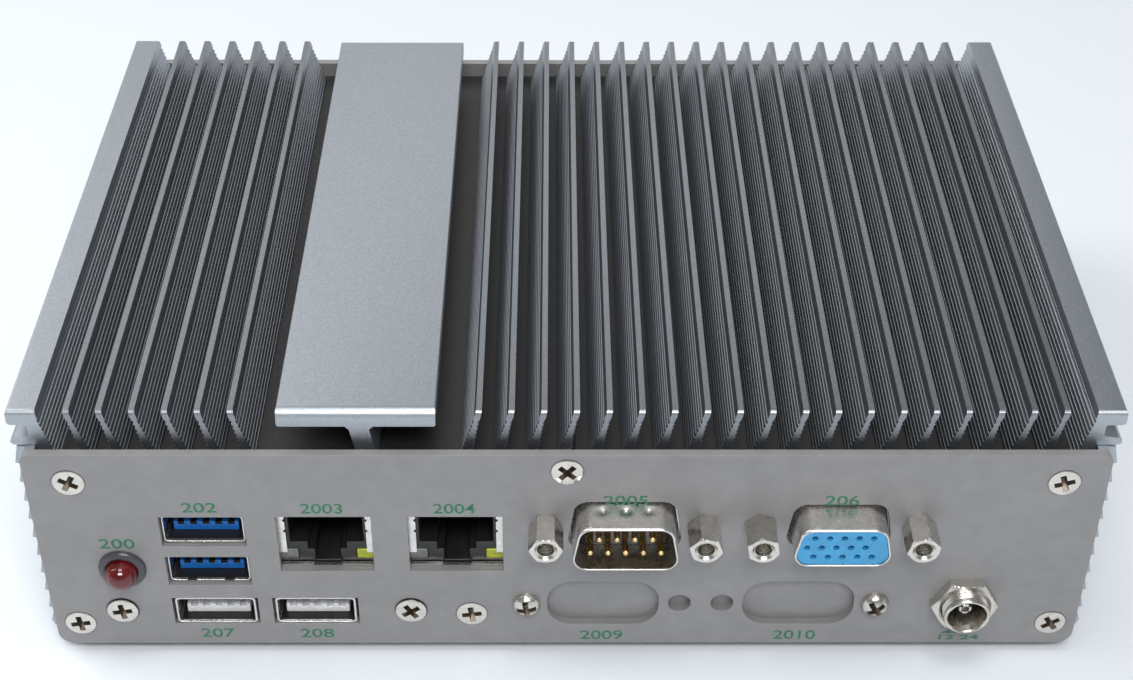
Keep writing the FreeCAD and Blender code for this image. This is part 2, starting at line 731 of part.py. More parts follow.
def make_side(label, side):
    """One side extrusion: wall, louvres, heatsink ledge and screw block."""
    wall = Piece(label)
    outside = wall_outside
    inside = wall_inside
    top = low_lip_bottom - d.fit_gap
    block = d.corner_block
    foot = wall_inside - d.wall_ease
    outline = [
        (foot, 0),
        (outside, d.wall_thickness * 0.7),
        (outside, top),
        (inside, top),
        (inside, sink_underside - d.fit_gap),
        (inside - d.ledge_width, sink_underside - d.fit_gap),
        (inside - d.ledge_width, sink_underside - d.fit_gap - d.wall_thickness),
        (inside, sink_underside - d.fit_gap - d.ledge_height),
        (inside, sheet_floor + block),
        (outside - block, sheet_floor + block),
        (outside - block, sheet_floor + d.fit_gap),
        (foot, sheet_floor + d.fit_gap),
    ]
    wall.pad("XZ", [(side * a, up) for a, up in outline], inside_front, inside_length)
    louvre_start = inside_front + d.fin_setback
    louvre_length = inside_length - 2 * d.fin_setback
    last = d.louvre_last
    corner = [
        (foot, 0),
        (outside, d.wall_thickness * 0.7),
        (louvre_edge - d.louvre_thickness / 2, last),
        (louvre_edge, last + d.louvre_thickness * 1.5),
        (louvre_edge - d.louvre_thickness, last + louvre_pitch * 0.9),
        (outside - d.fit_gap, last + louvre_pitch * 0.94),
        (outside - d.fit_gap, sheet_floor + d.fit_gap),
    ]
    wall.pad("XZ", [(side * a, up) for a, up in corner], louvre_start, louvre_length)
    outline = louvre_outline(side, last + louvre_pitch)
    louvre = wall.pad("XZ", outline, louvre_start, louvre_length)
    wall.row([louvre], louvre_pitch, d.louvre_count - 1, along="Z")
    ends = [(side * low_screw_across, d.low_screw_height)]
    hole_radius = d.screw_radius + d.thread_gap
    hole_depth = d.screw_length + d.hole_run_out
    wall.pocket_round("XZ", ends, hole_radius, inside_front, hole_depth)
    wall.pocket_round("XZ", ends, hole_radius, inside_rear - hole_depth, hole_depth)
    rising = [(side * rising_screw_across, back) for back in rising_screw_rows]
    wall.pocket_round("XY", rising, hole_radius, sheet_floor, d.short_screw_length + d.hole_run_out)



# -------------------------------------------------------------------- panels
def countersink(piece, centres, start, outward):
    """Drill screw holes through a panel and open them for flat heads."""
    clear = d.screw_radius + d.screw_clearance
    piece.pocket_round("XZ", centres, clear, start, d.panel_thickness)
    wide = d.flat_head_radius + d.thread_gap * 2
    depth = wide - clear
    for centre in centres:
        cone = piece.sketch("XZ", start if outward < 0 else start + d.panel_thickness)
        piece.circles(cone, [centre], wide)
        cut = piece.feature("Pocket", cone, depth, "XZ")
        cut.Reversed = outward > 0
        cut.TaperAngle = -45


def panel_plate(label, start):
    """The outline that the front and rear panels share."""
    panel = Piece(label)
    outline = box(-half_panel, 0, half_panel, d.panel_height)
    panel.pad("XZ", outline, start, d.panel_thickness)
    level = d.panel_height.value / 2
    panel.round_edges(d.panel_low_corner, "Y", lambda x, y, z: z < level)
    panel.round_edges(d.panel_top_corner, "Y", lambda x, y, z: z > level)
    return panel


def make_front_panel():
    """The port panel with every opening and screw hole."""
    panel = panel_plate("front_panel", size(0))
    sheet_depth = d.panel_thickness
    openings = []
    for low in (stack_lower_low, stack_upper_low):
        openings.append(
            middle_box(d.stack_centre, low, d.stack_opening_width, d.stack_opening_height)
        )
    for centre in (d.single_left, d.single_right):
        openings.append(
            middle_box(
                centre,
                d.single_opening_low,
                d.single_opening_width,
                d.single_opening_height,
            )
        )
    for centre in (d.network_left, d.network_right):
        openings.append(
            middle_box(
                centre,
                network_opening_low,
                d.network_opening_width,
                d.network_opening_height,
            )
        )
    panel.pocket("XZ", openings, 0, sheet_depth)
    shells = []
    for centre, width, height in (
        (d.serial_centre, d.plug_shell_width, d.plug_shell_height),
        (d.video_centre, d.socket_shell_width, d.socket_shell_height),
    ):
        wide = width + d.cutout_gap * 2
        tall = height + d.cutout_gap * 2
        shells.append(shell_outline(centre, shell_height, wide, tall, d.shell_slant))
    panel.pocket("XZ", shells, 0, sheet_depth)
    slots = [
        middle_box(centre, d.slot_height_middle - d.slot_height / 2, d.slot_width, d.slot_height)
        for centre in (d.slot_left, d.slot_right)
    ]
    panel.pocket("XZ", slots, 0, sheet_depth)
    round_cutouts(panel)
    clear = d.screw_radius + d.screw_clearance
    panel.pocket_round("XZ", jack_places + pan_places, clear, 0, sheet_depth)
    panel.pocket_round("XZ", empty_places, d.slot_hole_radius, 0, sheet_depth)
    light = [(light_across, d.light_height)]
    panel.pocket_round("XZ", light, d.bezel_sleeve + d.thread_gap, 0, sheet_depth)
    jack = [(jack_across, d.jack_height)]
    panel.pocket_round("XZ", jack, d.barrel_radius + d.thread_gap, 0, sheet_depth)
    countersink(panel, panel_screws + bracket_screws + [tray_screw], size(0), -1)


def round_cutouts(panel):
    """Round the corners of the shell cutouts and of the blanked slots."""
    shells = (d.plug_shell_width, d.plug_shell_height, d.shell_corner)
    slots = (d.slot_width, d.slot_height, d.slot_corner)
    slot_centres = [d.slot_left, d.slot_right]
    for centres, level, (width, height, radius) in (
        (shell_centres, shell_height, shells),
        (slot_centres, d.slot_height_middle, slots),
    ):
        middle = level.value
        reach = (width / 2 + d.cutout_gap * 2).value
        rise = (height / 2 + d.cutout_gap * 2).value
        places = [centre.value for centre in centres]

        def inside(x, y, z):
            near = any(abs(x - place) < reach for place in places)
            return near and abs(z - middle) < rise

        panel.round_edges(radius, "Y", inside)


def make_rear_panel():
    """The plain rear panel, with the hole for the power button."""
    panel = panel_plate("rear_panel", inside_rear)
    hole = [(button_across, d.button_height)]
    radius = d.button_thread_radius + d.fit_gap
    panel.pocket_round("XZ", hole, radius, inside_rear, d.panel_thickness)
    countersink(panel, panel_screws, inside_rear, 1)


def make_bottom_plate():
    """Bottom plate with screw holes and four pressed-in mounting nuts."""
    plate = Piece("bottom_plate")
    half = wall_inside - d.wall_ease - d.fit_gap * 2
    outline = box(-half, inside_front + d.fit_gap, half, inside_rear - d.fit_gap)
    plate.pad("XY", outline, 0, sheet_floor)
    middle = d.case_depth / 2
    reach = d.mount_spacing / 2
    nuts = [(side * reach, middle + way * reach) for side in (-1, 1) for way in (-1, 1)]
    plate.pad_round("XY", nuts, d.mount_boss_radius, sheet_floor - d.fit_gap, d.mount_boss_height)
    plate.pocket_round("XY", nuts, d.mount_thread, 0, sheet_floor + d.mount_boss_height)
    rising = [(s * rising_screw_across, back) for s in (-1, 1) for back in rising_screw_rows]
    plate.pocket_round("XY", rising, d.screw_radius + d.screw_clearance, 0, sheet_floor)


def make_feet():
    """Four rubber feet under the bottom plate."""
    foot = Piece("foot_pattern")
    rim = d.foot_radius / 8
    foot.turn(
        [
            (-d.foot_height, 0),
            (-d.foot_height, d.foot_radius - rim),
            (-d.foot_height + rim, d.foot_radius - rim / 3),
            (0, d.foot_radius),
            (0, 0),
        ],
        axis="Z",
    )
    across = wall_inside - d.foot_inset
    rows = (d.foot_inset, d.case_depth - d.foot_inset)
    places = [(side * across, back, 0) for side in (-1, 1) for back in rows]
    group("rubber_feet", spare(foot), places)


# --------------------------------------------------------------------- screws
def flat_screw(label, length, way=1):
    """A flat-head screw at the case origin, entering toward plus or minus Y."""
    screw = Piece(label)
    cone = d.flat_head_radius - d.screw_radius
    points = [
        (0, 0),
        (0, d.flat_head_radius),
        (cone, d.screw_radius),
        (length, d.screw_radius),
        (length, 0),
    ]
    screw.turn([(way * along, radius) for along, radius in points])
    return screw


def make_screws():
    """Every screw of the case, each kind as one group."""
    front = spare(flat_screw("front_screw_pattern", d.screw_length))
    group("front_panel_screws", front, [(x, 0, z) for x, z in panel_screws])
    rear = spare(flat_screw("rear_screw_pattern", d.screw_length, -1))
    group("rear_panel_screws", rear, [(x, rear_face, z) for x, z in panel_screws])
    short = spare(flat_screw("short_screw_pattern", d.short_screw_length))
    places = [(x, -d.head_proud, z) for x, z in bracket_screws]
    group("bracket_screws", short, places)
    tray = flat_screw("tray_screw", d.short_screw_length)
    place(tray.body, tray_screw[0], 0, tray_screw[1])
    pan = Piece("pan_screw_pattern")
    dome = d.pan_head_height
    pan.turn(
        [
            (-dome, 0),
            (-dome, d.pan_head_radius * 0.45),
            (-dome * 0.85, d.pan_head_radius * 0.78),
            (-dome * 0.45, d.pan_head_radius),
            (0, d.pan_head_radius),
            (0, d.screw_radius),
            (d.short_screw_length, d.screw_radius),
            (d.short_screw_length, 0),
        ]
    )
    pan = spare(pan)
    group("blanking_plate_screws", pan, [(x, 0, z) for x, z in pan_places])
    rising = Piece("rising_screw_pattern")
    rising.turn(
        [
            (-d.foot_height * 0.6, 0),
            (-d.foot_height * 0.6, d.flat_head_radius * 0.8),
            (0, d.flat_head_radius),
            (0, d.screw_radius),
            (sheet_floor + d.short_screw_length, d.screw_radius),
            (sheet_floor + d.short_screw_length, 0),
        ],
        axis="Z",
    )
    rising = spare(rising)
    places = [(s * rising_screw_across, back, 0) for s in (-1, 1) for back in rising_screw_rows]
    group("bottom_plate_screws", rising, places)
    board = Piece("board_screw_pattern")
    tip = sink_underside - board_underside + d.board_screw_grip
    board.turn(
        [
            (-dome, 0),
            (-dome, d.pan_head_radius * 0.7),
            (-dome * 0.6, d.pan_head_radius),
            (0, d.pan_head_radius),
            (0, d.screw_radius),
            (tip, d.screw_radius),
            (tip, 0),
        ],
        axis="Z",
    )
    board = spare(board)
    group("board_screws", board, [(x, y, board_underside) for x, y in board_screws])
    spacer = Piece("spacer_pattern")
    height = sink_underside - board_top
    bore = d.screw_radius + d.fit_gap
    spacer.turn(
        [(0, bore), (0, d.spacer_radius), (height, d.spacer_radius), (height, bore)],
        axis="Z",
    )
    spacer = spare(spacer)
    group("board_spacers", spacer, [(x, y, board_top) for x, y in board_screws])


# ----------------------------------------------------------- network sockets
def make_network_socket(name, centre):
    """Shield, housing and two indicator lenses of one upside-down socket."""
    front = inside_front
    top = board_underside
    half = d.network_width / 2
    skin = d.shield_sheet
    shield = Piece(f"{name}_network_shield")
    outside = box(centre - half, network_low, centre + half, top)
    shield.pad("XZ", outside, front, d.network_depth)
    inside = box(
        centre - half + skin,
        network_low + skin,
        centre + half - skin,
        top - skin,
    )
    shield.pocket("XZ", [inside], front, d.network_depth - skin)

    housing = Piece(f"{name}_network_housing")
    gap = d.thread_gap
    low = network_low + skin + gap
    high = top - skin - gap
    wide = half - skin - gap
    setback = d.fin_setback / 3
    face = front + setback
    body_depth = d.network_depth - skin - gap - setback
    housing.pad("XZ", box(centre - wide, low, centre + wide, high), face, body_depth)
    mouth_top = high - d.shield_sheet * 4
    mouth_low = mouth_top - d.plug_mouth_height
    mouth = d.plug_mouth_width / 2
    latch = d.latch_width / 2
    step = d.lens_height * 0.8
    latch_low = low + d.shield_sheet * 4
    outline = [
        (centre - mouth, mouth_top),
        (centre - mouth, mouth_low),
        (centre - latch, mouth_low),
        (centre - latch, mouth_low - step),
        (centre - latch * 0.65, mouth_low - step),
        (centre - latch * 0.65, latch_low),
        (centre + latch * 0.65, latch_low),
        (centre + latch * 0.65, mouth_low - step),
        (centre + latch, mouth_low - step),
        (centre + latch, mouth_low),
        (centre + mouth, mouth_low),
        (centre + mouth, mouth_top),
    ]
    housing.pocket("XZ", [outline], face, d.plug_mouth_depth)
    lens_low = network_opening_low + d.lens_height * 0.55
    lens_mid = centre + wide - d.lens_width / 2 - gap
    lens_left = centre - wide + d.lens_width / 2 + gap
    seats = [
        middle_box(middle, lens_low - gap, d.lens_width + gap * 2, d.lens_height + gap * 2)
        for middle in (lens_left, lens_mid)
    ]
    housing.pocket("XZ", seats, face, d.lens_height)
    for kind, middle in (("clear", lens_left), ("green", lens_mid)):
        lens = Piece(f"{name}_{kind}_lens")
        outline = middle_box(middle, lens_low, d.lens_width, d.lens_height)
        lens.pad("XZ", outline, face - setback / 2, d.lens_height)


# --------------------------------------------------------------- plug-in ports
def port_mouth(centre, middle):
    """Inside outline of one port."""
    low = middle - d.port_inner_height / 2
    return middle_box(centre, low, d.port_inner_width, d.port_inner_height)


def port_tongue(label, centre, middle, front):
    """A port's tongue, low in its mouth because the socket is upside down."""
    tongue = Piece(label)
    low = middle - d.port_inner_height / 2 + d.port_sheet * 0.5
    outline = middle_box(centre, low, d.tongue_width, d.tongue_thickness)
    length = d.port_depth - d.tongue_setback - d.port_sheet * 2
    tongue.pad("XZ", outline, front + d.tongue_setback, length)
    notch_top = low + d.tongue_thickness
    depth = d.tongue_thickness * 0.35
    notches = []
    for step in range(-2, 3):
        middle_notch = centre + step * d.tongue_width / 5.2
        notches.append(middle_box(middle_notch, notch_top - depth, d.pin_radius * 2, depth))
    tongue.pocket("XZ", notches, front + d.tongue_setback, length * 0.7)


def make_stacked_ports():
    """Two ports in one tall shell under the board."""
    front = inside_front
    shell = Piece("stacked_port_shell")
    skin = d.port_sheet
    middles = [
        low + d.stack_opening_height / 2 - skin * 0.2
        for low in (stack_lower_low, stack_upper_low)
    ]
    low = middles[0] - d.port_inner_height / 2 - skin
    wide = d.port_inner_width + skin * 2
    half = wide / 2
    outside = box(d.stack_centre - half, low, d.stack_centre + half, board_underside)
    shell.pad("XZ", outside, front, d.port_depth)
    mouths = [port_mouth(d.stack_centre, middle) for middle in middles]
    shell.pocket("XZ", mouths, front, d.port_depth - skin)
    for name, middle in zip(("lower", "upper"), middles):
        port_tongue(f"{name}_stacked_tongue", d.stack_centre, middle, front)


def make_single_ports():
    """Two single ports on their own small board and bracket."""
    front = d.panel_thickness / 3
    skin = d.port_sheet
    middle = d.single_opening_low + d.single_opening_height / 2
    top = middle + d.port_inner_height / 2 + skin
    for name, centre in (("left", d.single_left), ("right", d.single_right)):
        shell = Piece(f"{name}_single_port_shell")
        low = middle - d.port_inner_height / 2 - skin
        half = d.port_inner_width / 2 + skin
        shell.pad("XZ", box(centre - half, low, centre + half, top), front, d.port_depth)
        shell.pocket("XZ", [port_mouth(centre, middle)], front, d.port_depth - skin)
        port_tongue(f"{name}_single_tongue", centre, middle, front)
    board = Piece("port_board")
    left = d.single_left - d.single_opening_width / 2
    right = d.single_right + d.single_opening_width / 2
    outline = box(left, inside_front + d.bracket_sheet, right, front + d.port_depth + d.port_board_tail)
    board.pad("XY", outline, top, d.board_thickness)
    bracket = Piece("port_bracket")
    low = sheet_floor + d.fit_gap
    shelf = top + d.board_thickness
    high = shelf + d.bracket_sheet
    margin = d.flat_head_radius + d.fit_gap
    outer_left = d.bracket_screw_left - margin
    outer_right = d.bracket_screw_right + margin
    bracket.pad(
        "XZ",
        box(outer_left, low + d.bracket_sheet, outer_right, high),
        inside_front,
        d.bracket_sheet,
    )
    shelf_box = box(left, inside_front, right, front + d.port_depth)
    bracket.pad("XY", shelf_box, shelf, d.bracket_sheet)
    gap = d.fit_gap
    half = d.port_inner_width / 2 + skin + gap
    mouth_low = middle - d.port_inner_height / 2 - skin - gap
    mouths = [
        box(centre - half, mouth_low, centre + half, top + gap)
        for centre in (d.single_left, d.single_right)
    ]
    bracket.pocket("XZ", mouths, inside_front, d.bracket_sheet)
    bracket.pocket_round(
        "XZ",
        bracket_screws,
        d.screw_radius + d.thread_gap,
        inside_front,
        d.bracket_sheet,
    )


# ------------------------------------------------------- serial plug and video
def shell_piece(label, centre, width, height, proud):
    """A connector's pressed shell: a rounded, tapered tube on a flat flange."""
    blank = Piece(f"{label}_blank")
    skin = d.shell_sheet
    outline = shell_outline(centre, shell_height, width, height, d.shell_slant)
    blank.pad("XZ", outline, -proud, proud + inside_front)
    blank.round_edges(d.shell_corner, "Y", lambda x, y, z: True)
    flange = middle_box(
        centre,
        shell_height - d.flange_height / 2,
        d.flange_width,
        d.flange_height,
    )
    blank.pad("XZ", flange, inside_front, skin)
    holes = [(centre + side * half_jack, shell_height) for side in (-1, 1)]
    radius = d.screw_radius + d.thread_gap
    blank.pocket_round("XZ", holes, radius, inside_front, skin)
    hollow = Piece(f"{label}_hollow")
    inner = shell_outline(
        centre,
        shell_height,
        width - skin * 2,
        height - skin * 2,
        d.shell_slant,
    )
    through = proud + inside_front + skin + 2 * d.bracket_sheet
    hollow.pad("XZ", inner, -proud - d.bracket_sheet, through)
    hollow.round_edges(d.shell_corner - skin, "Y", lambda x, y, z: True)
    shell = doc.addObject("Part::Cut", label)
    shell.Base = spare(blank)
    shell.Tool = spare(hollow)
    return keep(label, shell)


def insulator_piece(label, centre, width, height, face):
    """The moulded insulator that fills a shell behind its face."""
    gap = d.shell_sheet + d.thread_gap
    core = Piece(label)
    back = inside_front + d.shell_sheet + d.thread_gap
    outline = shell_outline(
        centre,
        shell_height,
        width - gap * 2,
        height - gap * 2,
        d.shell_slant,
    )
    core.pad("XZ", outline, face, back - face + d.fit_gap)
    core.round_edges(d.shell_corner - gap, "Y", lambda x, y, z: True)
    block = middle_box(
        centre,
        shell_height - d.flange_height / 2 + d.fit_gap,
        d.jack_spacing - d.jack_flats,
        board_underside - shell_height + d.flange_height / 2 - d.fit_gap * 2,
    )
    core.pad("XZ", block, back, d.jack_proud)
    return core


def make_serial_plug():
    """Nine-pin plug: shell, insulator and pins, four above five."""
    centre = d.serial_centre
    width, height = d.plug_shell_width, d.plug_shell_height
    shell_piece("serial_plug_shell", centre, width, height, d.plug_shell_proud)
    core = insulator_piece("serial_plug_insulator", centre, width, height, size(0))
    rows = []
    for count, row in ((4, 0.5), (5, -0.5)):
        for step in range(count):
            across = centre + (step - (count - 1) / 2) * d.pin_pitch
            rows.append((across, shell_height + row * d.pin_rows))
    seat = d.pin_radius + d.thread_gap
    core.pocket_round("XZ", rows, seat, 0, inside_front + d.jack_proud / 2)
    pin = Piece("pin_pattern")
    tip = d.pin_radius / 2
    pin.turn(
        [
            (-d.pin_proud, 0),
            (-d.pin_proud, tip),
            (-d.pin_proud + tip, d.pin_radius),
            (inside_front + d.jack_proud / 2, d.pin_radius),
            (inside_front + d.jack_proud / 2, 0),
        ]
    )
    pin = spare(pin)
    group("serial_plug_pins", pin, [(x, 0, z) for x, z in rows])


def make_video_socket():
    """Fifteen-contact socket: shell, insulator and sleeves in three rows."""
    centre = d.video_centre
    width, height = d.socket_shell_width, d.socket_shell_height
    shell_piece("video_socket_shell", centre, width, height, d.socket_shell_proud)
    face = -d.socket_shell_proud + d.shell_sheet * 0.7
    core = insulator_piece("video_socket_insulator", centre, width, height, face)
    holes = []
    for row, shift in ((1, 0), (0, -0.5), (-1, 0)):
        for step in range(-2, 3):
            across = centre + (step + shift) * d.contact_pitch
            holes.append((across, shell_height + row * d.contact_rows))
    depth = d.jack_proud
    core.pocket_round("XZ", holes, d.contact_radius, face, depth)
    sleeve = Piece("sleeve_pattern")
    outer = d.contact_radius - d.thread_gap
    bore = outer * 0.6
    length = depth / 2
    sleeve.turn([(0, bore), (0, outer), (length, outer), (length, bore)])
    sleeve = spare(sleeve)
    places = [(x, face + depth / 2, z) for x, z in holes]
    group("video_socket_sleeves", sleeve, places)


def make_jack_screws():
    """Four hexagonal jack screws, tightened to different angles."""
    jack = Piece("jack_screw_pattern")
    hexagon_head = hexagon(size(0), size(0), d.jack_flats)
    jack.pad("XZ", hexagon_head, -d.jack_proud, d.jack_proud)
    stud = d.short_screw_length
    jack.pad_round("XZ", [(0, 0)], d.screw_radius, 0, stud)
    jack.pocket_round("XZ", [(0, 0)], d.jack_bore, -d.jack_proud, d.jack_proud * 0.8)
    doc.recompute()
    jack = spare(jack)
    places = [(x, 0, z) for x, z in jack_places]
    group("jack_screws", jack, places, turns=(0, 12, 20, -14))


# ---------------------------------------------------------- slots, light, jack
def make_blanking_plate():
    """Steel plate that closes the two unused connector slots from behind."""
    plate = Piece("blanking_plate")
    margin = d.flat_head_radius + d.bracket_sheet
    left = d.slot_left - half_jack - margin
    right = d.slot_right + half_jack + margin
    low = sheet_floor + d.bracket_sheet
    high = d.slot_height_middle + d.slot_height / 2 + d.bracket_sheet
    plate.pad("XZ", box(left, low, right, high), inside_front, d.bracket_sheet)
    radius = d.screw_radius + d.thread_gap
    plate.pocket_round("XZ", pan_places, radius, inside_front, d.bracket_sheet)


def make_drive_light():
    """Drive light: bezel sleeve in the panel and a domed lamp in it."""
    bezel = Piece("light_bezel", light_across, 0, d.light_height)
    bore = d.light_radius + d.thread_gap
    back = inside_front + d.bezel_proud * 2
    bezel.turn(
        [
            (-d.bezel_proud, bore),
            (-d.bezel_proud, d.bezel_radius - d.bezel_proud * 0.6),
            (-d.bezel_proud * 0.5, d.bezel_radius),
            (0, d.bezel_radius),
            (0, d.bezel_sleeve),
            (back, d.bezel_sleeve),
            (back, bore),
        ]
    )
    lamp = Piece("drive_light", light_across, 0, d.light_height)
    steps = 6
    points = []
    for step in range(steps + 1):
        angle = math.pi / 2 * step / steps
        along = -d.light_proud + d.light_radius * (1 - math.cos(angle))
        points.append((along, d.light_radius * math.sin(angle)))
    points.append((back, d.light_radius))
    points.append((back, d.light_radius + d.thread_gap * 8))
    points.append((back + d.bezel_proud, d.light_radius + d.thread_gap * 8))
    points.append((back + d.bezel_proud, 0))
    lamp.turn(points)


def make_power_jack():
    """Screw-in power inlet: barrel, nut, centre pin and insulating base."""
    x, z = jack_across, d.jack_height
    barrel = Piece("power_jack_barrel", x, 0, z)
    lip = (d.barrel_radius - d.barrel_bore) / 3
    collar = d.barrel_radius + d.bracket_sheet
    bottom = -d.barrel_proud + d.barrel_bore_depth
    barrel.turn(
        [
            (-d.barrel_proud, d.barrel_bore + lip),
            (-d.barrel_proud, d.barrel_radius - lip),
            (-d.barrel_proud + lip, d.barrel_radius),
            (inside_front, d.barrel_radius),
            (inside_front, collar),
            (d.barrel_inside, collar),
            (d.barrel_inside, d.barrel_bore),
            (-d.barrel_proud + lip, d.barrel_bore),
        ]
    )
    nut = Piece("power_jack_nut")
    outline = hexagon(x, z, d.jack_nut_flats)
    nut.pad("XZ", outline, -d.jack_nut_thickness, d.jack_nut_thickness)
    bore = d.barrel_radius + d.thread_gap
    nut.pocket_round("XZ", [(x, z)], bore, -d.jack_nut_thickness, d.jack_nut_thickness)
    base = Piece("power_jack_insulator", x, 0, z)
    pin_seat = d.centre_pin_radius + d.thread_gap
    rim = d.barrel_bore - d.thread_gap
    base.turn(
        [
            (bottom, pin_seat),
            (bottom, rim),
            (d.barrel_inside + d.base_tail, rim),
            (d.barrel_inside + d.base_tail, pin_seat),
        ]
    )
    pin = Piece("power_jack_pin", x, 0, z)
    tip = -d.barrel_proud + d.centre_pin_setback
    hollow = d.centre_pin_radius * 0.6
    end = d.barrel_inside + d.pin_tail
    pin.turn(
        [
            (tip, hollow),
            (tip, d.centre_pin_radius),
            (end, d.centre_pin_radius),
            (end, 0),
            (tip + d.centre_pin_setback, 0),
            (tip + d.centre_pin_setback, hollow),
        ]
    )


# --------------------------------------------------------------- power button
def make_power_button():
    """Push button in the rear panel: body, nut and a sprung cap."""
    x, z = button_across, d.button_height
    bore = d.button_radius + d.fit_gap * 2
    stem_bore = d.button_radius / 2 + d.fit_gap * 2
    front = inside_rear - d.button_body_length
    floor = rear_face - d.button_proud * 1.6
    body = Piece("button_housing", x, 0, z)
    chamfer = d.button_bezel_proud * 0.4
    body.turn(
        [
            (front, stem_bore),
            (front, d.button_thread_radius),
            (rear_face, d.button_thread_radius),
            (rear_face, d.button_bezel_radius),
            (rear_face + d.button_bezel_proud - chamfer, d.button_bezel_radius),
            (rear_face + d.button_bezel_proud, d.button_bezel_radius - chamfer),
            (rear_face + d.button_bezel_proud, bore),
            (floor, bore),
            (floor, stem_bore),
        ]
    )
    cap = Piece("power_button", x, 0, z)
    cap_low = floor + d.button_travel + d.fit_gap * 3
    edge = d.button_travel * 0.3
    cap.turn(
        [
            (front + d.button_travel + d.fit_gap * 3, 0),
            (front + d.button_travel + d.fit_gap * 3, d.button_radius / 2),
            (cap_low, d.button_radius / 2),
            (cap_low, d.button_radius),
            (rear_face + d.button_proud - edge, d.button_radius),
            (rear_face + d.button_proud, d.button_radius - edge),
            (rear_face + d.button_proud, 0),
        ]
    )
    nut = Piece("button_nut")
    nut_front = inside_rear - d.button_nut_thickness
    nut.pad("XZ", hexagon(x, z, d.button_nut_flats), nut_front, d.button_nut_thickness)
    hole = d.button_thread_radius + d.thread_gap
    nut.pocket_round("XZ", [(x, z)], hole, nut_front, d.button_nut_thickness)


# ------------------------------------------------------------------ main board
def make_board():
    """Main board with what it carries above and below."""
    board = Piece("main_board")
    half = d.board_width / 2
    edges = box(-half, d.board_front, half, board_back)
    board.pad("XY", edges, board_underside, d.board_thickness)
    clear = d.screw_radius + d.fit_gap
    board.pocket_round("XY", board_screws, clear, board_underside, d.board_thickness)
    for centre in shell_centres:
        reach = d.jack_spacing / 2 + d.jack_flats / 2
        depth = inside_front + d.jack_proud
        back = depth + d.fit_gap * 3
        notch = box(centre - reach, d.board_front - d.board_thickness, centre + reach, back)
        board.pocket("XY", [notch], board_underside, d.board_thickness)

    x, y = d.processor_across, d.processor_back
    carrier = Piece("processor")
    reach = d.processor_size / 2
    carrier.pad("XY", box(x - reach, y - reach, x + reach, y + reach), board_top, d.carrier_thickness)
    die = d.die_size / 2
    die_low = board_top + d.carrier_thickness
    carrier.pad("XY", box(x - die, y - die, x + die, y + die), die_low, d.die_thickness)
    pad = Piece("heat_pad")
    pad_low = die_low + d.die_thickness
    pad.pad("XY", box(x - die, y - die, x + die, y + die), pad_low, d.pad_thickness)
    spreader = Piece("heat_spreader")
    spread = d.spreader_size / 2
    spreader_low = pad_low + d.pad_thickness
    outline = box(x - spread, y - spread, x + spread, y + spread)
    spreader.pad("XY", outline, spreader_low, sink_underside - spreader_low)

    x, y = d.memory_across, d.memory_front
    half = d.memory_width / 2
    module_top = board_underside - d.memory_drop
    module_low = module_top - d.memory_thickness
    module = Piece("memory_module")
    outline = box(x - half, y, x + half, y + d.memory_length)
    module.pad("XY", outline, module_low, d.memory_thickness)
    key = box(
        x - half / 3,
        y + d.memory_length - d.memory_thickness * 3,
        x - half / 3 + d.memory_thickness,
        y + d.memory_length,
    )
    module.pocket("XY", [key], module_low, d.memory_thickness)
    socket = Piece("memory_socket")
    wide = half + d.memory_thickness
    overlap = d.memory_thickness * 3
    back = y + d.memory_length
    socket_box = box(x - wide, back - overlap, x + wide, back - overlap + d.memory_socket_depth)
    drop = d.memory_drop + d.memory_thickness * 2
    socket.pad("XY", socket_box, board_underside - drop, drop)
    gap = d.fit_gap
    front = back - overlap - d.memory_thickness
    slot = box(x - half - gap, front, x + half + gap, back + gap)
    socket.pocket("XY", [slot], module_low - gap, d.memory_thickness + gap * 2)

    x, y = d.cell_across, d.cell_back
    holder = Piece("cell_holder")
    wide = d.cell_radius + d.memory_thickness
    rim = d.cell_thickness + d.memory_thickness
    low = board_underside - rim
    holder.pad_round("XY", [(x, y)], wide, low, rim)
    holder.pocket_round("XY", [(x, y)], d.cell_radius + d.fit_gap, low, d.cell_thickness)
    cell = Piece("coin_cell")
    cell.pad_round("XY", [(x, y)], d.cell_radius, low, d.cell_thickness)


# -------------------------------------------------------------------- the drive
def make_drive():
    """Solid-state drive on a folded tray that the front panel holds."""
    half = d.drive_width / 2
    x = d.drive_across
    skin = d.bracket_sheet
    low = sheet_floor + d.mount_boss_height + d.fit_gap * 3
    tray = Piece("drive_tray")
    front = inside_front + d.bracket_sheet + d.fit_gap
    back = drive_front + d.drive_length
    floor_box = box(x - half - skin - d.fit_gap, drive_front, x + half + skin + d.fit_gap, back)
    tray.pad("XY", floor_box, low, skin)
    for side in (-1, 1):
        inner = x + side * (half + d.fit_gap)
        outer = inner + side * skin
        wall = box(inner, drive_front, outer, back)
        tray.pad("XY", wall, low, skin + d.drive_thickness)
    tab = d.flat_head_radius + d.bracket_sheet / 2
    across = d.tray_screw_across
    tongue = box(across - tab, front - d.fit_gap, across + tab, drive_front + skin)
    tray.pad("XY", tongue, low, skin)
    top = d.tray_screw_height + tab
    tray.pad("XZ", box(across - tab, low, across + tab, top), inside_front, skin)
    hole = d.screw_radius + d.thread_gap
    tray.pocket_round("XZ", [tray_screw], hole, inside_front, skin)
    drive = Piece("solid_state_drive")
    outline = box(x - half, drive_front, x + half, back)
    drive.pad("XY", outline, low + skin, d.drive_thickness)


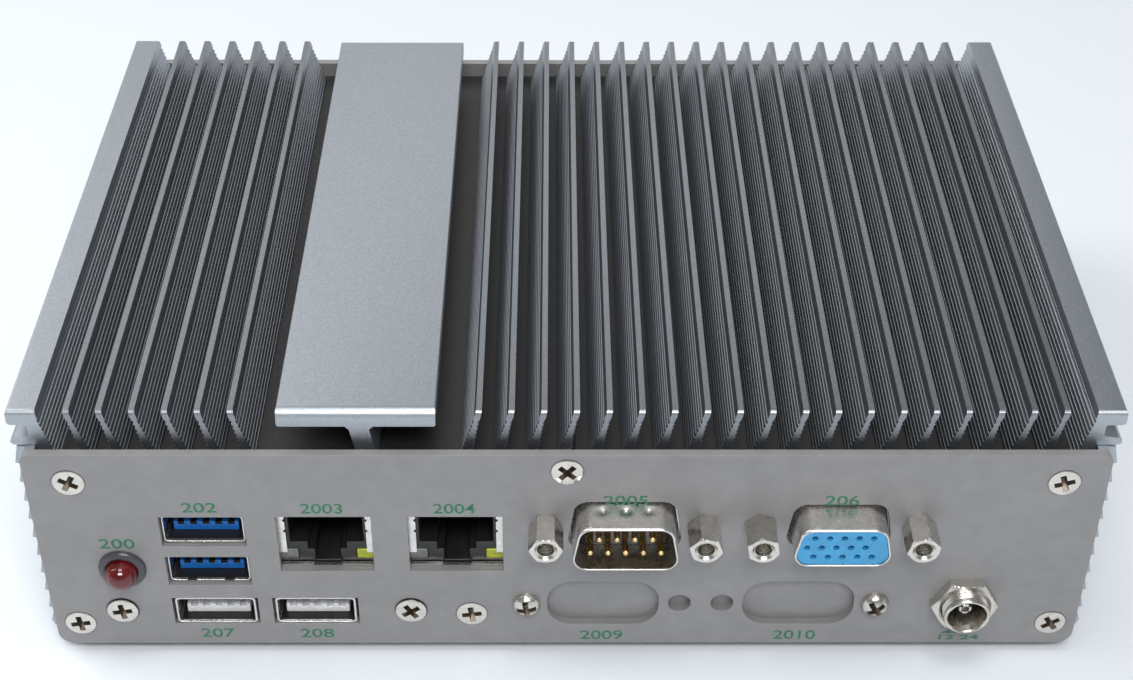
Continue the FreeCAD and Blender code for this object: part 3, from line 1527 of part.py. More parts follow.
# ------------------------------------------------------------- build and write
def check_and_write():
    """Recompute, refuse anything invalid, then write one STEP file a node."""
    doc.recompute()
    for thing in doc.Objects:
        if "Invalid" in thing.State or "Error" in thing.State:
            raise RuntimeError(f"{thing.Label} failed: {thing.State}")
    for label, thing in nodes.items():
        shape = thing.Shape
        if shape.isNull() or not shape.isValid() or not shape.Solids:
            raise RuntimeError(f"{label} has no valid solid")
    os.makedirs("parts", exist_ok=True)
    for label, thing in nodes.items():
        thing.Shape.exportStep(f"parts/{label}.step")


make_heatsink()
make_side("left_side_extrusion", -1)
make_side("right_side_extrusion", 1)
make_front_panel()
make_rear_panel()
make_bottom_plate()
make_feet()
make_screws()
make_network_socket("left", d.network_left)
make_network_socket("right", d.network_right)
make_stacked_ports()
make_single_ports()
make_serial_plug()
make_video_socket()
make_jack_screws()
make_blanking_plate()
make_drive_light()
make_power_jack()
make_power_button()
make_board()
make_drive()
check_and_write()
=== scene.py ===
"""Dresses a fanless computer: fins, panels, screws, connectors, labels, light and camera.

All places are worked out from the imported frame.  Shapes are drawn in case
millimetres: X from the middle, Y back from the front panel's face, Z up from
the panels' lower edge.
"""
import math

import bmesh
import bpy
import numpy as np
from bpy.props import FloatProperty, FloatVectorProperty, IntProperty, PointerProperty
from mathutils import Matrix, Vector


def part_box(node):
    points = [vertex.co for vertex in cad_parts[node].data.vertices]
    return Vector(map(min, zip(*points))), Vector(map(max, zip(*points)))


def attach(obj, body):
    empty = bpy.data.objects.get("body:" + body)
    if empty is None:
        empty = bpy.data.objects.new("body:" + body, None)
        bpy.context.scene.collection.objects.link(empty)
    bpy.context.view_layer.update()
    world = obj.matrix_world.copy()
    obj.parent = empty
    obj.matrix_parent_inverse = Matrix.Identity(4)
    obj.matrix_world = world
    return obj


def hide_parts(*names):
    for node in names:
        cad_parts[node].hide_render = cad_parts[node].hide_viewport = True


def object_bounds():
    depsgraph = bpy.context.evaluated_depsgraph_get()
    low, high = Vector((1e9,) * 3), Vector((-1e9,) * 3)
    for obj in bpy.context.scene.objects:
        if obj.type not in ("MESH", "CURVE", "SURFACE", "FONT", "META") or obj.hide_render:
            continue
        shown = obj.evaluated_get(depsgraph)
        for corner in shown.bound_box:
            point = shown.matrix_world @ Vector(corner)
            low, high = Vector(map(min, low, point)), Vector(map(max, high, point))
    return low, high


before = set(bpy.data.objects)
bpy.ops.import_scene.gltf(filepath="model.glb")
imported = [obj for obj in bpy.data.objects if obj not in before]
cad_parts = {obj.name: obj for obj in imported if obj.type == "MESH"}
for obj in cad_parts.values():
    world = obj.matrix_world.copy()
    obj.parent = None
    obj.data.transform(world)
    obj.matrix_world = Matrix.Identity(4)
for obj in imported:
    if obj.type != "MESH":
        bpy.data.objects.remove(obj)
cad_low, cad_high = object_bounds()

bl_info = {
    "name": "Fanless computer",
    "version": (1, 0, 0),
    "blender": (4, 5, 0),
    "location": "View3D > Sidebar > Computer",
    "description": "Builds the looks of a small finned computer around its packed solids",
    "category": "Object",
}

MM = 0.001
PANEL_LOW, PANEL_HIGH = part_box("front_panel")
ORIGIN = np.array([0.0, PANEL_LOW.y, PANEL_LOW.z])
FRONT = np.eye(3)
REAR = np.diag([-1.0, -1.0, 1.0])
BELOW = np.array([[1.0, 0.0, 0.0], [0.0, 0.0, -1.0], [0.0, 1.0, 0.0]])
GROOVE_FLOOR = 38.4  # height of the heatsink's base
BASE_HALF = 81.9  # half the width of the heatsink's base
SHIELD_HALF = 7.9  # half the width of a network socket's shield
SHEET = 0.4  # thickness of the sockets' folded sheet


def length(name, description, millimetres):
    """A length setting, given in millimetres."""
    return FloatProperty(
        name=name, description=description, default=millimetres * MM, unit="LENGTH"
    )


def colour(name, description, default):
    """A colour setting."""
    return FloatVectorProperty(
        name=name, description=description, default=default, subtype="COLOR", min=0, max=1
    )


def power(light, watts):
    """The power of a softbox."""
    return FloatProperty(
        name=light, description=f"Power of the {light.lower()} softbox in watts", default=watts
    )


# ------------------------------------------------------------------- settings
class FinSettings(bpy.types.PropertyGroup):
    """Sizes of the heatsink extrusion."""

    pitch: length("Fin pitch", "Distance from fin to fin", 5)
    tip: length("Tip", "Fin thickness at the tip", 0.9)
    root: length("Root", "Fin thickness at the root", 2.0)
    lean: length("Lean", "How far a tip leans from its root", 2.4)
    left_count: IntProperty(name="Left fins", description="Fins left of the band", default=6)
    right_count: IntProperty(name="Right fins", description="Fins right of the band", default=19)
    left_start: length("Left start", "First fin left of the band", -51.5)
    right_start: length("Right start", "First fin right of the band", -13.5)
    ridge_pitch: length("Ridge pitch", "Pitch of the ridges on a flank", 0.86)
    ridge_depth: length("Ridge depth", "Depth of the grooves between them", 0.26)
    smooth_strip: length("Smooth strip", "Height of a flank without ridges, at the tip", 1.3)
    band_centre: length("Band", "Middle of the flat band", -32.4)
    band_width: length("Band width", "Width of the flat band", 24.4)
    band_thickness: length("Band thickness", "Thickness of the band", 2.9)
    rounding: length("Rounding", "Round on the ends of the fins", 0.9)
    band_rounding: length("Band rounding", "Round on the ends of the band", 1.6)


class FinishSettings(bpy.types.PropertyGroup):
    """Colours of the finishes."""

    anodised: colour("Anodised", "Band, rails and louvres", (0.40, 0.43, 0.46))
    # painted shade: the fins are the band's aluminium, darkened to stand in for shade on their flanks
    # and tips
    fins: colour("Fins", "Aluminium of the fins", (0.262, 0.280, 0.302))
    # painted shade: the groove floor is the same aluminium, darkened to stand in for the shade deep
    # between the fins
    painted_shade_of_grooves: colour(
        "Groove floor", "Aluminium between the fins", (0.080, 0.077, 0.077)
    )
    paint: colour("Paint", "Coat of the panels", (0.275, 0.270, 0.271))
    nickel: colour("Nickel", "Screws and jack screws", (0.66, 0.63, 0.58))
    label: colour("Label", "Ink of the printed numerals", (0.028, 0.16, 0.085))
    floor: colour("Floor", "Studio floor", (0.80, 0.84, 0.88))


class StageSettings(bpy.types.PropertyGroup):
    """Camera and lights."""

    camera_place: FloatVectorProperty(
        name="Camera", description="Camera's place in the part's frame",
        default=(-0.00212, -0.27687, 0.23482), subtype="XYZ", unit="LENGTH",
    )
    camera_turn: FloatVectorProperty(
        name="Turn", description="Camera's pitch, roll and yaw",
        default=(0.906921, -0.004555, -0.005077), subtype="EULER",
    )
    lens: FloatProperty(name="Lens", description="Focal length in millimetres", default=60.08)
    shift: FloatProperty(name="Shift", description="Vertical shift of the lens", default=0.0059)
    key: power("Side", 3.2)
    back: power("Back", 1.9)
    fill: power("Front", 6.0)
    top: power("Top", 2.0)
    ambient: FloatProperty(name="Ambient", description="Strength of the room", default=0.25)


def fins():
    """The heatsink's settings."""
    return bpy.context.scene.computer_fins


def finishes():
    """The colour settings."""
    return bpy.context.scene.computer_finishes


def stage():
    """The camera and light settings."""
    return bpy.context.scene.computer_stage


# ------------------------------------------------------------- mesh helpers
class Shape:
    """Gathers numpy surfaces, in case millimetres, into the mesh of one piece."""

    def __init__(self):
        self.points = []
        self.faces = []
        self.slots = []
        self.total = 0

    def add(self, points, faces, slot=0):
        """Add points (n x 3) and faces that count from this call's first point."""
        points = np.asarray(points, float).reshape(-1, 3)
        faces = np.asarray(faces) + self.total
        self.points.append(points)
        self.faces.extend(faces.tolist())
        self.slots.extend([slot] * len(faces))
        self.total += len(points)

    def grid(self, points, closed=False, slot=0):
        """Add a surface of rows x columns points, with a quad between each four."""
        rows, columns = points.shape[:2]
        width = columns if closed else columns - 1
        row, column = np.meshgrid(np.arange(rows - 1), np.arange(width), indexing="ij")
        following = (column + 1) % columns
        corners = [
            row * columns + column,
            row * columns + following,
            (row + 1) * columns + following,
            (row + 1) * columns + column,
        ]
        self.add(points, np.stack(corners, -1).reshape(-1, 4), slot)

    def cap(self, ring, slot=0):
        """Close a flat ring of points with one face."""
        self.add(ring, [np.arange(len(ring))], slot)

    def prism(self, outline, depths, slot=0):
        """Carry a flat (x, z) outline along Y and close both ends."""
        outline = np.asarray(outline, float)
        points = np.empty((len(depths), len(outline), 3))
        points[..., 0], points[..., 2] = outline[:, 0], outline[:, 1]
        points[..., 1] = np.asarray(depths, float)[:, None]
        self.grid(points, closed=True, slot=slot)
        self.cap(points[0], slot)
        self.cap(points[-1], slot)

    def polar(self, rows, centre, turn, facing=FRONT, slot=0):
        """Add a surface round an axis through `centre`.

        A point is centre + facing * (r cos a, along, r sin a), where each row
        gives `along` and `r` as numbers or as arrays over the angles a.
        """
        along = np.array([np.broadcast_to(row[0], turn.shape) for row in rows], float)
        radius = np.array([np.broadcast_to(row[1], turn.shape) for row in rows], float)
        local = np.stack([radius * np.cos(turn), along, radius * np.sin(turn)], -1)
        self.grid(np.asarray(centre, float) + local @ facing.T, closed=True, slot=slot)


def weld(mesh, doubled=0.0002, flat=False):
    """Merge points closer than `doubled` mm and turn closed shells' faces outwards.

    With `flat`, triangles that lie in one plane are joined as well.
    """
    work = bmesh.new()
    work.from_mesh(mesh)
    bmesh.ops.remove_doubles(work, verts=work.verts, dist=doubled * MM)
    if flat:
        level = math.radians(1)
        bmesh.ops.dissolve_limit(work, angle_limit=level, verts=work.verts, edges=work.edges)
    else:
        bmesh.ops.dissolve_degenerate(work, edges=work.edges, dist=doubled * MM)
    bmesh.ops.recalc_face_normals(work, faces=work.faces)
    work.to_mesh(mesh)
    work.free()


def smooth(mesh, angle):
    """Shade smooth, with edges sharper than `angle` degrees kept sharp."""
    mesh.shade_smooth()
    mesh.set_sharp_from_angle(angle=math.radians(angle))


def stand(name, mesh, materials, nodes=(), body="case"):
    """Make a mesh an object of the part that rides on a body."""
    thing = bpy.data.objects.new(name, mesh)
    bpy.context.scene.collection.objects.link(thing)
    if len(mesh.materials):
        mesh.materials.clear()
    for material in materials:
        mesh.materials.append(material)
    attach(thing, body)
    if nodes:
        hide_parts(*nodes)
    return thing


def piece(name, shape, materials, nodes=(), slot=None, body="case", angle=32):
    """Turn a Shape into an object of the part."""
    mesh = bpy.data.meshes.new(name)
    points = np.concatenate(shape.points) * MM + ORIGIN
    mesh.from_pydata(points.tolist(), [], shape.faces)
    mesh.polygons.foreach_set("material_index", shape.slots)
    weld(mesh)
    smooth(mesh, angle)
    return stand(name, mesh, materials, nodes, body)


def case_box(node):
    """A CAD node's lowest and highest corners in case millimetres."""
    low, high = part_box(node)
    return (np.array(low) - ORIGIN) / MM, (np.array(high) - ORIGIN) / MM


def case_solids(node):
    """The box of each separate solid of a CAD node, in case millimetres."""
    work = bmesh.new()
    work.from_mesh(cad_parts[node].data)
    bmesh.ops.remove_doubles(work, verts=work.verts, dist=0.001 * MM)
    waiting = set(work.verts)
    boxes = []
    while waiting:
        found = [waiting.pop()]
        for vert in found:
            near = [edge.other_vert(vert) for edge in vert.link_edges]
            found.extend(other for other in near if other in waiting)
            waiting.difference_update(near)
        places = (np.array([vert.co for vert in found]) - ORIGIN) / MM
        boxes.append((places.min(0), places.max(0)))
    work.free()
    return sorted(boxes, key=lambda box: (round(box[0][2]), round(box[0][0], 1), box[0][1]))


def eased(node, material, width):
    """Replace a CAD node by a copy whose edges have a fine bevel, `width` mm wide."""
    angle = 35
    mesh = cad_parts[node].data.copy()
    mesh.name = f"{node}_eased"
    weld(mesh, 0.001, flat=True)
    thing = stand(mesh.name, mesh, [finish(material)], [node])
    bevel = thing.modifiers.new("eased_edges", "BEVEL")
    bevel.width = width * MM
    bevel.segments = 2
    bevel.limit_method = "ANGLE"
    bevel.angle_limit = math.radians(angle)
    bevel.use_clamp_overlap = True
    bevel.harden_normals = True
    smooth(mesh, angle)


def dress(node, material):
    """Give a CAD node a finish."""
    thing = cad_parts[node]
    if not thing.material_slots:
        thing.data.materials.append(finish(material))
    for place in thing.material_slots:
        place.material = finish(material)


def rectangle(left, right, low, high):
    """The outline of a rectangle."""
    return [(left, low), (right, low), (right, high), (left, high)]


def rounded(corners, radius, steps=6):
    """A closed outline with each corner of a convex polygon rounded.

    At each corner the arc's middle lies on the bisector, radius / sin(half the
    angle) away, and the arc runs between the two points where it touches.
    """
    corners = np.asarray(corners, float)
    outline = []
    for index, corner in enumerate(corners):
        before = corners[index - 1] - corner
        after = corners[(index + 1) % len(corners)] - corner
        before = before / np.linalg.norm(before)
        after = after / np.linalg.norm(after)
        half = math.acos(np.clip(before @ after, -1, 1)) / 2
        bisector = (before + after) / np.linalg.norm(before + after)
        middle = corner + bisector * radius / math.sin(half)
        first = corner + before * radius / math.tan(half) - middle
        last = corner + after * radius / math.tan(half) - middle
        start = math.atan2(first[1], first[0])
        sweep = math.atan2(last[1], last[0]) - start
        sweep = (sweep + math.pi) % (2 * math.pi) - math.pi
        turn = np.linspace(start, start + sweep, steps)
        outline.append(middle + radius * np.stack([np.cos(turn), np.sin(turn)], -1))
    return np.concatenate(outline)


# ---------------------------------------------------------------- materials
class Graph:
    """A node tree, with short ways to add and join its nodes."""

    def __init__(self, owner):
        owner.use_nodes = True
        self.tree = owner.node_tree

    def node(self, kind, **inputs):
        """Add a node and set its input values."""
        made = self.tree.nodes.new(kind)
        for socket, value in inputs.items():
            made.inputs[socket.replace("_", " ")].default_value = value
        return made

    def link(self, source, target):
        """Join two sockets."""
        self.tree.links.new(source, target)

    def maths(self, operation, first, second):
        """The result of a sum on two sockets."""
        made = self.node("ShaderNodeMath")
        made.operation = operation
        self.link(first, made.inputs[0])
        self.link(second, made.inputs[1])
        return made.outputs[0]

    def fade(self, source, start, end, first, last):
        """Go smoothly from `first` to `last` while a socket goes from `start` to `end`."""
        made = self.node(
            "ShaderNodeMapRange", From_Min=start, From_Max=end, To_Min=first, To_Max=last
        )
        made.interpolation_type = "SMOOTHSTEP"
        self.link(source, made.inputs["Value"])
        return made.outputs["Result"]

    def seen_by(self, *kinds):
        """1 for rays of the given kinds, 0 for others."""
        rays = self.node("ShaderNodeLightPath")
        seen = [rays.outputs[f"Is {kind} Ray"] for kind in kinds]
        while len(seen) > 1:
            seen.append(self.maths("MAXIMUM", seen.pop(), seen.pop()))
        return seen[0]

    def blend(self, share, first, second, output):
        """Send a blend of two shaders to the named output node."""
        made = self.node("ShaderNodeMixShader")
        self.link(share, made.inputs[0])
        self.link(first.outputs[0], made.inputs[1])
        self.link(second.outputs[0], made.inputs[2])
        self.link(made.outputs[0], self.tree.nodes[output].inputs["Surface"])


class Finish(Graph):
    """A node material round one Principled shader, on Object coordinates."""

    def __init__(self, name, colour, roughness, metallic=0.0, **sockets):
        self.material = bpy.data.materials.new(name)
        super().__init__(self.material)
        self.shader = self.tree.nodes["Principled BSDF"]
        self.shader.inputs["Base Color"].default_value = (*colour, 1)
        self.shader.inputs["Roughness"].default_value = roughness
        self.shader.inputs["Metallic"].default_value = metallic
        for socket, value in sockets.items():
            self.shader.inputs[socket.replace("_", " ")].default_value = value
        self.coordinates = self.node("ShaderNodeTexCoord").outputs["Object"]

    def noise(self, size, detail=2.0, stretch=(1, 1, 1)):
        """A noise whose grains are about `size` millimetres."""
        mapping = self.node("ShaderNodeMapping", Scale=stretch)
        made = self.node("ShaderNodeTexNoise", Scale=1 / (size * MM), Detail=detail)
        self.link(self.coordinates, mapping.inputs["Vector"])
        self.link(mapping.outputs["Vector"], made.inputs["Vector"])
        return made.outputs["Fac"]

    def colour(self, source, low, high, start=0.35, end=0.65):
        """Let a noise vary the base colour between two colours."""
        made = self.node("ShaderNodeValToRGB")
        first, last = made.color_ramp.elements
        first.position, last.position = start, end
        first.color, last.color = (*low, 1), (*high, 1)
        self.link(source, made.inputs["Fac"])
        self.link(made.outputs["Color"], self.shader.inputs["Base Color"])
        return self

    def roughness(self, source, low, high):
        """Let a noise vary the roughness."""
        made = self.node("ShaderNodeMapRange", From_Min=0.3, From_Max=0.7, To_Min=low, To_Max=high)
        self.link(source, made.inputs["Value"])
        self.link(made.outputs["Result"], self.shader.inputs["Roughness"])
        return self

    def bump(self, source, depth, strength=1.0):
        """Raise the surface by a noise, `depth` millimetres at most."""
        made = self.node("ShaderNodeBump", Strength=strength, Distance=depth * MM)
        self.link(source, made.inputs["Height"])
        self.link(made.outputs["Normal"], self.shader.inputs["Normal"])
        return self


def tinted(colour, factor):
    """A colour made darker or lighter."""
    return tuple(min(1.0, part * factor) for part in colour)


def anodised(name="anodised_aluminium", colour=None, rough=0.40):
    """Blasted and anodised aluminium: fine sparkle, slow changes of gloss."""
    colour = tuple(colour or finishes().anodised)
    made = Finish(name, colour, rough, 0.9)
    grain = made.noise(0.22, 2.0)
    made.colour(grain, tinted(colour, 0.88), tinted(colour, 1.12))
    made.roughness(made.noise(0.6), rough - 0.03, rough + 0.03)
    return made.bump(grain, 0.008).material


def painted():
    """Smooth matt coat of the panels, with a faint grain."""
    colour = tuple(finishes().paint)
    made = Finish("matt_grey_coat", colour, 0.52, 0.25)
    cloud = made.noise(3.0, 4.0)
    made.colour(cloud, tinted(colour, 0.95), tinted(colour, 1.05), 0.3, 0.7)
    made.roughness(made.noise(9), 0.47, 0.56)
    return made.bump(made.noise(0.25, 2.0), 0.006).material


def nickel(name="nickel_plate", colour=None, rough=0.24):
    """Nickel plate with light tool marks and handling."""
    colour = tuple(colour or finishes().nickel)
    made = Finish(name, colour, rough, 1.0)
    made.colour(made.noise(1.6, 3.0), tinted(colour, 0.92), tinted(colour, 1.06))
    made.roughness(made.noise(1.1, 2.0), rough - 0.05, rough + 0.06)
    return made.bump(made.noise(0.6, 2.0), 0.006).material


def plain_plastic(name, colour, rough=0.35, grain=0.3, depth=0.006):
    """Moulded plastic with a fine eroded grain."""
    made = Finish(name, colour, rough)
    made.colour(made.noise(2.5, 3.0), tinted(colour, 0.92), tinted(colour, 1.08))
    made.roughness(made.noise(1.5), rough - 0.06, rough + 0.06)
    return made.bump(made.noise(grain), depth).material


def lamp_red():
    """Tinted dome of the lamp: deep red, clear and glossy."""
    made = Finish(
        "lamp_red", (0.16, 0.002, 0.005), 0.07, Transmission_Weight=0.35, IOR=1.5, Coat_Weight=0.6
    )
    made.colour(made.noise(1.6), (0.12, 0.0015, 0.004), (0.22, 0.003, 0.007))
    return made.material


def lens(name, colour):
    """Small moulded light pipe."""
    made = Finish(name, colour, 0.18, Transmission_Weight=0.25, IOR=1.45)
    made.colour(made.noise(0.9, 3.0), tinted(colour, 0.8), tinted(colour, 1.15))
    return made.material


def ink():
    """Screen-printed ink, a little uneven."""
    colour = tuple(finishes().label)
    made = Finish("printed_ink", colour, 0.5)
    made.colour(made.noise(0.4, 3.0), tinted(colour, 0.8), tinted(colour, 1.35))
    return made.material


def board_green():
    """Solder resist over copper: green with slightly darker patches."""
    made = Finish("solder_resist", (0.02, 0.12, 0.05), 0.3)
    made.colour(made.noise(4, 6.0), (0.012, 0.075, 0.03), (0.03, 0.17, 0.07))
    return made.bump(made.noise(1.0), 0.02).material


def rubber():
    """Moulded rubber."""
    made = Finish("black_rubber", (0.018, 0.018, 0.018), 0.7)
    made.colour(made.noise(2), (0.012, 0.012, 0.012), (0.03, 0.03, 0.03))
    return made.bump(made.noise(0.3), 0.02).material


FINISH_MAKERS = {
    "anodised": anodised,
    # painted shade: darker copy of the anodised aluminium for the fins
    "fins": lambda: anodised("anodised_fins_painted_shade", finishes().fins, 0.36),
    # painted shade: darker copy of the anodised aluminium for the floor between the fins
    "groove": lambda: anodised("groove_floor_painted_shade", finishes().painted_shade_of_grooves, 0.5),
    "paint": painted,
    "nickel": nickel,
    "tin": lambda: nickel("tin_plate", (0.72, 0.70, 0.67), 0.28),
    "recess": lambda: nickel("screw_recess", (0.20, 0.165, 0.13), 0.45),
    "gold": lambda: nickel("gold_plate", (0.86, 0.62, 0.30), 0.18),
    "copper": lambda: nickel("copper_block", (0.72, 0.38, 0.24), 0.35),
    "black": lambda: plain_plastic("black_plastic", (0.014, 0.013, 0.013)),
    "brown_black": lambda: plain_plastic("insulator_black", (0.009, 0.006, 0.0045), 0.24),
    "blue": lambda: plain_plastic("tongue_blue", (0.01, 0.16, 0.55), 0.3),
    "sky": lambda: plain_plastic("socket_blue", (0.05, 0.33, 0.62), 0.32),
    "white": lambda: plain_plastic("tongue_white", (0.78, 0.78, 0.80), 0.35),
    "bezel": lambda: plain_plastic("bezel_grey", (0.055, 0.055, 0.065), 0.28),
    "red": lamp_red,
    "clear": lambda: lens("clear_lens", (0.20, 0.21, 0.20)),
    "green": lambda: lens("green_lens", (0.50, 0.55, 0.03)),
    "ink": ink,
    "board": board_green,
    "rubber": rubber,
    "pad": lambda: plain_plastic("thermal_pad", (0.20, 0.21, 0.22), 0.8, 0.6, 0.03),
    "dark_paint": lambda: plain_plastic("satin_black", (0.02, 0.02, 0.022), 0.4),
}
finish_store = {}


def finish(name):
    """A material by its short name, made once."""
    if name not in finish_store:
        finish_store[name] = FINISH_MAKERS[name]()
    return finish_store[name]


# ------------------------------------------------------------------ heatsink
def ridged(height, top, floor):
    """Depth of the flank's fine grooves at each height.

    Each groove is half an ellipse, depth * sqrt(1 - u^2) with u from -1 to 1
    over a pitch, so the ridges between them are sharp.  They fade out below
    the smooth strip at the tip.
    """
    pitch = fins().ridge_pitch / MM
    depth = fins().ridge_depth / MM
    across = 2 * ((height - floor) / pitch % 1.0) - 1
    fade_length = 0.3
    fade = np.clip((top - fins().smooth_strip / MM - height) / fade_length, 0, 1)
    return depth * np.sqrt(np.maximum(1 - across**2, 0)) * fade


def levels(floor, top, radius):
    """Heights along a flank: seven to a scallop, then the steps of the end's round."""
    pitch = fins().ridge_pitch / MM
    shares = np.array([0, 0.04, 0.16, 0.34, 0.66, 0.84, 0.96]) * pitch
    starts = np.arange(floor, top - radius, pitch)
    straight = (starts[:, None] + shares).ravel()
    turn = np.linspace(0, math.pi / 2, 8)
    return np.concatenate(
        [straight[straight < top - radius - 0.01], top - radius + radius * np.sin(turn)]
    )


def bar(shape, heights, left, right, rest, ends, top, radius, slot=0):
    """A bar along Y whose upper end corners are rounded.

    left and right give the x of both flanks at each height; rest closes the
    outline below, from the right flank back to the left.  Every point lies on
    y = end -/+ (radius - sqrt(radius^2 - rise^2)), where rise is its height
    above the round's start.
    """
    rest = np.asarray(rest, float).reshape(-1, 2)
    across = np.concatenate([left, right[::-1], rest[:, 0]])
    height = np.concatenate([heights, heights[::-1], rest[:, 1]])
    rise = np.clip(height - (top - radius), 0, radius)
    back = radius - np.sqrt(np.maximum(radius**2 - rise**2, 0))
    first = np.stack([across, ends[0] + back, height], -1)
    last = np.stack([across, ends[1] - back, height], -1)
    shape.grid(np.stack([first, last]), closed=True, slot=slot)
    count = len(heights)
    index = np.arange(count - 1)
    other = 2 * count - 1 - index
    strips = np.stack([index, index + 1, other - 1, other], -1)
    for ring in (first, last):
        shape.add(ring, strips, slot)
        if len(rest):
            below = np.concatenate([ring[:1], ring[2 * count - 1 :]])
            shape.cap(below, slot)


def add_fin(shape, tip, side, floor, top, ends):
    """One leaning fin with ridged flanks.

    At a share t of its height the middle is tip - lean * (1 - t), and the
    thickness goes straight from root to tip, less the ridges' grooves.
    """
    heights = levels(floor, top, fins().rounding / MM)
    share = (heights - floor) / (top - floor)
    lean = fins().lean / MM * side
    middle = tip - lean * (1 - share)
    thick = (fins().root + (fins().tip - fins().root) * share) / MM
    groove = ridged(heights, top, floor)
    left = middle - thick / 2 + groove
    right = middle + thick / 2 - groove
    # slot 1 gives the fins their darkened painted-shade aluminium
    bar(shape, heights, left, right, [], ends, top, fins().rounding / MM, slot=1)


def add_band(shape, floor, top, ends):
    """The flat band on its leaning stem.

    The band's section is a rectangle with eased corners, and the stem's a
    leaning wall that flares at 45 degrees under the band.
    """
    centre = fins().band_centre / MM
    half = fins().band_width / MM / 2
    low = top - fins().band_thickness / MM
    radius = fins().band_rounding / MM
    ease = 0.25
    turn = np.linspace(0, math.pi / 2, 10)
    heights = top - radius + radius * np.sin(turn)
    corner = np.clip(heights - (top - ease), 0, ease)
    side = half - (ease - np.sqrt(np.maximum(ease**2 - corner**2, 0)))
    rest = [(centre + half, low + ease), (centre + half - ease, low)]
    rest += [(centre - half + ease, low), (centre - half, low + ease)]
    bar(shape, heights, centre - side, centre + side, rest, ends, top, radius)
    stem_top = centre + 0.4
    stem_root = stem_top + 1.1
    thick, flare, sunk, end_gap = 1.55, 0.7, 0.2, 0.05
    outline = [
        (stem_root - thick, floor - sunk),
        (stem_root + thick, floor - sunk),
        (stem_top + thick, low - flare),
        (stem_top + thick + flare, low + end_gap),
        (stem_top - thick - flare, low + end_gap),
        (stem_top - thick, low - flare),
    ]
    shape.prism(outline, [ends[0] + end_gap, ends[1] - end_gap])


def add_rail(shape, side, reach, floor, top, ends):
    """One edge rail: ridged inner flank, upper lip, side groove, lower lip.

    The section runs up the inner flank, over the eased top, and down the
    outside as straight lines between the points below.
    """
    radius = fins().rounding / MM
    heights = levels(floor, top, radius)
    share = (heights - floor) / (top - floor)
    width, depth, lip = 4.5, 3.0, 2.6
    ease = 0.5
    lip_low = top - lip
    low_top, low_bottom = 42.3, 41.05
    inner = reach - width - fins().lean / MM * (1 - share) + ridged(heights, top, floor)
    in_lip = heights >= lip_low + ease
    web = reach - depth
    corner = np.clip(heights - (top - ease), 0, ease)
    outer = reach - (ease - np.sqrt(np.maximum(ease**2 - corner**2, 0)))
    upper = heights[in_lip]
    rest = [
        (reach, lip_low + ease),
        (reach - 0.15, lip_low + 0.15),
        (reach - ease, lip_low),
        (web + 0.3, lip_low),
        (web, lip_low - 0.3),
        (web, low_top + ease),
        (reach - 0.6, low_top + 0.1),
        (reach - 0.15, low_top - 0.2),
        (reach, low_top - 0.45),
        (reach, low_bottom + 0.4),
        (reach - 0.35, low_bottom + 0.05),
        (reach - ease * 2, low_bottom),
        (BASE_HALF, low_bottom),
        (BASE_HALF, floor),
    ]
    rest = np.concatenate([rest, np.stack([inner, heights], -1)[~in_lip]])
    left, right = inner[in_lip], outer[in_lip]
    if side < 0:
        left, right = -outer[in_lip], -inner[in_lip]
        rest = rest[::-1] * (-1, 1)
    bar(shape, upper, left, right, rest, ends, top, radius)


def build_heatsink():
    """The whole extrusion: base, rails, band, stem and every fin."""
    low, high = case_box("heatsink_cover")
    reach, top = high[0], high[2]
    floor, sunk, setback = GROOVE_FLOOR, 0.2, 1.5
    ends = (low[1] + setback, high[1] - setback)
    shape = Shape()
    for side in (-1, 1):
        add_rail(shape, side, reach, floor, top, ends)
    add_band(shape, floor, top, ends)
    groups = (
        (-1, fins().left_start / MM, fins().left_count),
        (1, fins().right_start / MM, fins().right_count),
    )
    for side, start, count in groups:
        for number in range(count):
            tip = start + side * number * fins().pitch / MM
            add_fin(shape, tip, side, floor - sunk, top, ends)
    half = BASE_HALF
    # the base's top is the groove floor, in the painted-shade aluminium of slot 2
    shape.prism(rectangle(-half, half, low[2], floor), [low[1], high[1]], slot=2)
    # the fins and the groove floor take darkened copies of the anodised aluminium as painted shade
    piece(
        "finned_cover",
        shape,
        [finish("anodised"), finish("fins"), finish("groove")],
        ["heatsink_cover"],
        "silver_anodised",
        angle=20,
    )


# -------------------------------------------------------------------- panels
def build_case():
    """Side extrusions, panels, plates and feet."""
    for node in ("left_side_extrusion", "right_side_extrusion"):
        eased(node, "anodised", 0.12)
    eases = {
        "front_panel": 0.16,
        "rear_panel": 0.16,
        "bottom_plate": 0.2,
        "blanking_plate": 0.1,
        "port_bracket": 0.1,
    }
    for node, width in eases.items():
        eased(node, "paint", width)
    eased("rubber_feet", "rubber", 0.4)


# -------------------------------------------------------------------- screws
def cross_radius(turn, half_width, length):
    """Edge of a cross-shaped recess in polar form: two crossed bars."""
    across = np.maximum(np.abs(np.cos(turn)), 1e-6)
    along = np.maximum(np.abs(np.sin(turn)), 1e-6)
    first = np.minimum(length / across, half_width / along)
    second = np.minimum(half_width / across, length / along)
    return np.maximum(first, second)


def cross_turns(half_width, length, count=64):
    """Angles round a screw head, with the recess's own corners among them."""
    even = np.linspace(0, 2 * math.pi, count, endpoint=False)
    near = math.atan2(half_width, length)
    quarters = np.arange(4) * math.pi / 2
    corners = np.add.outer(quarters, (near, -near, math.pi / 4)).ravel()
    return np.unique(np.round(np.concatenate([even, np.mod(corners, 2 * math.pi)]), 6))


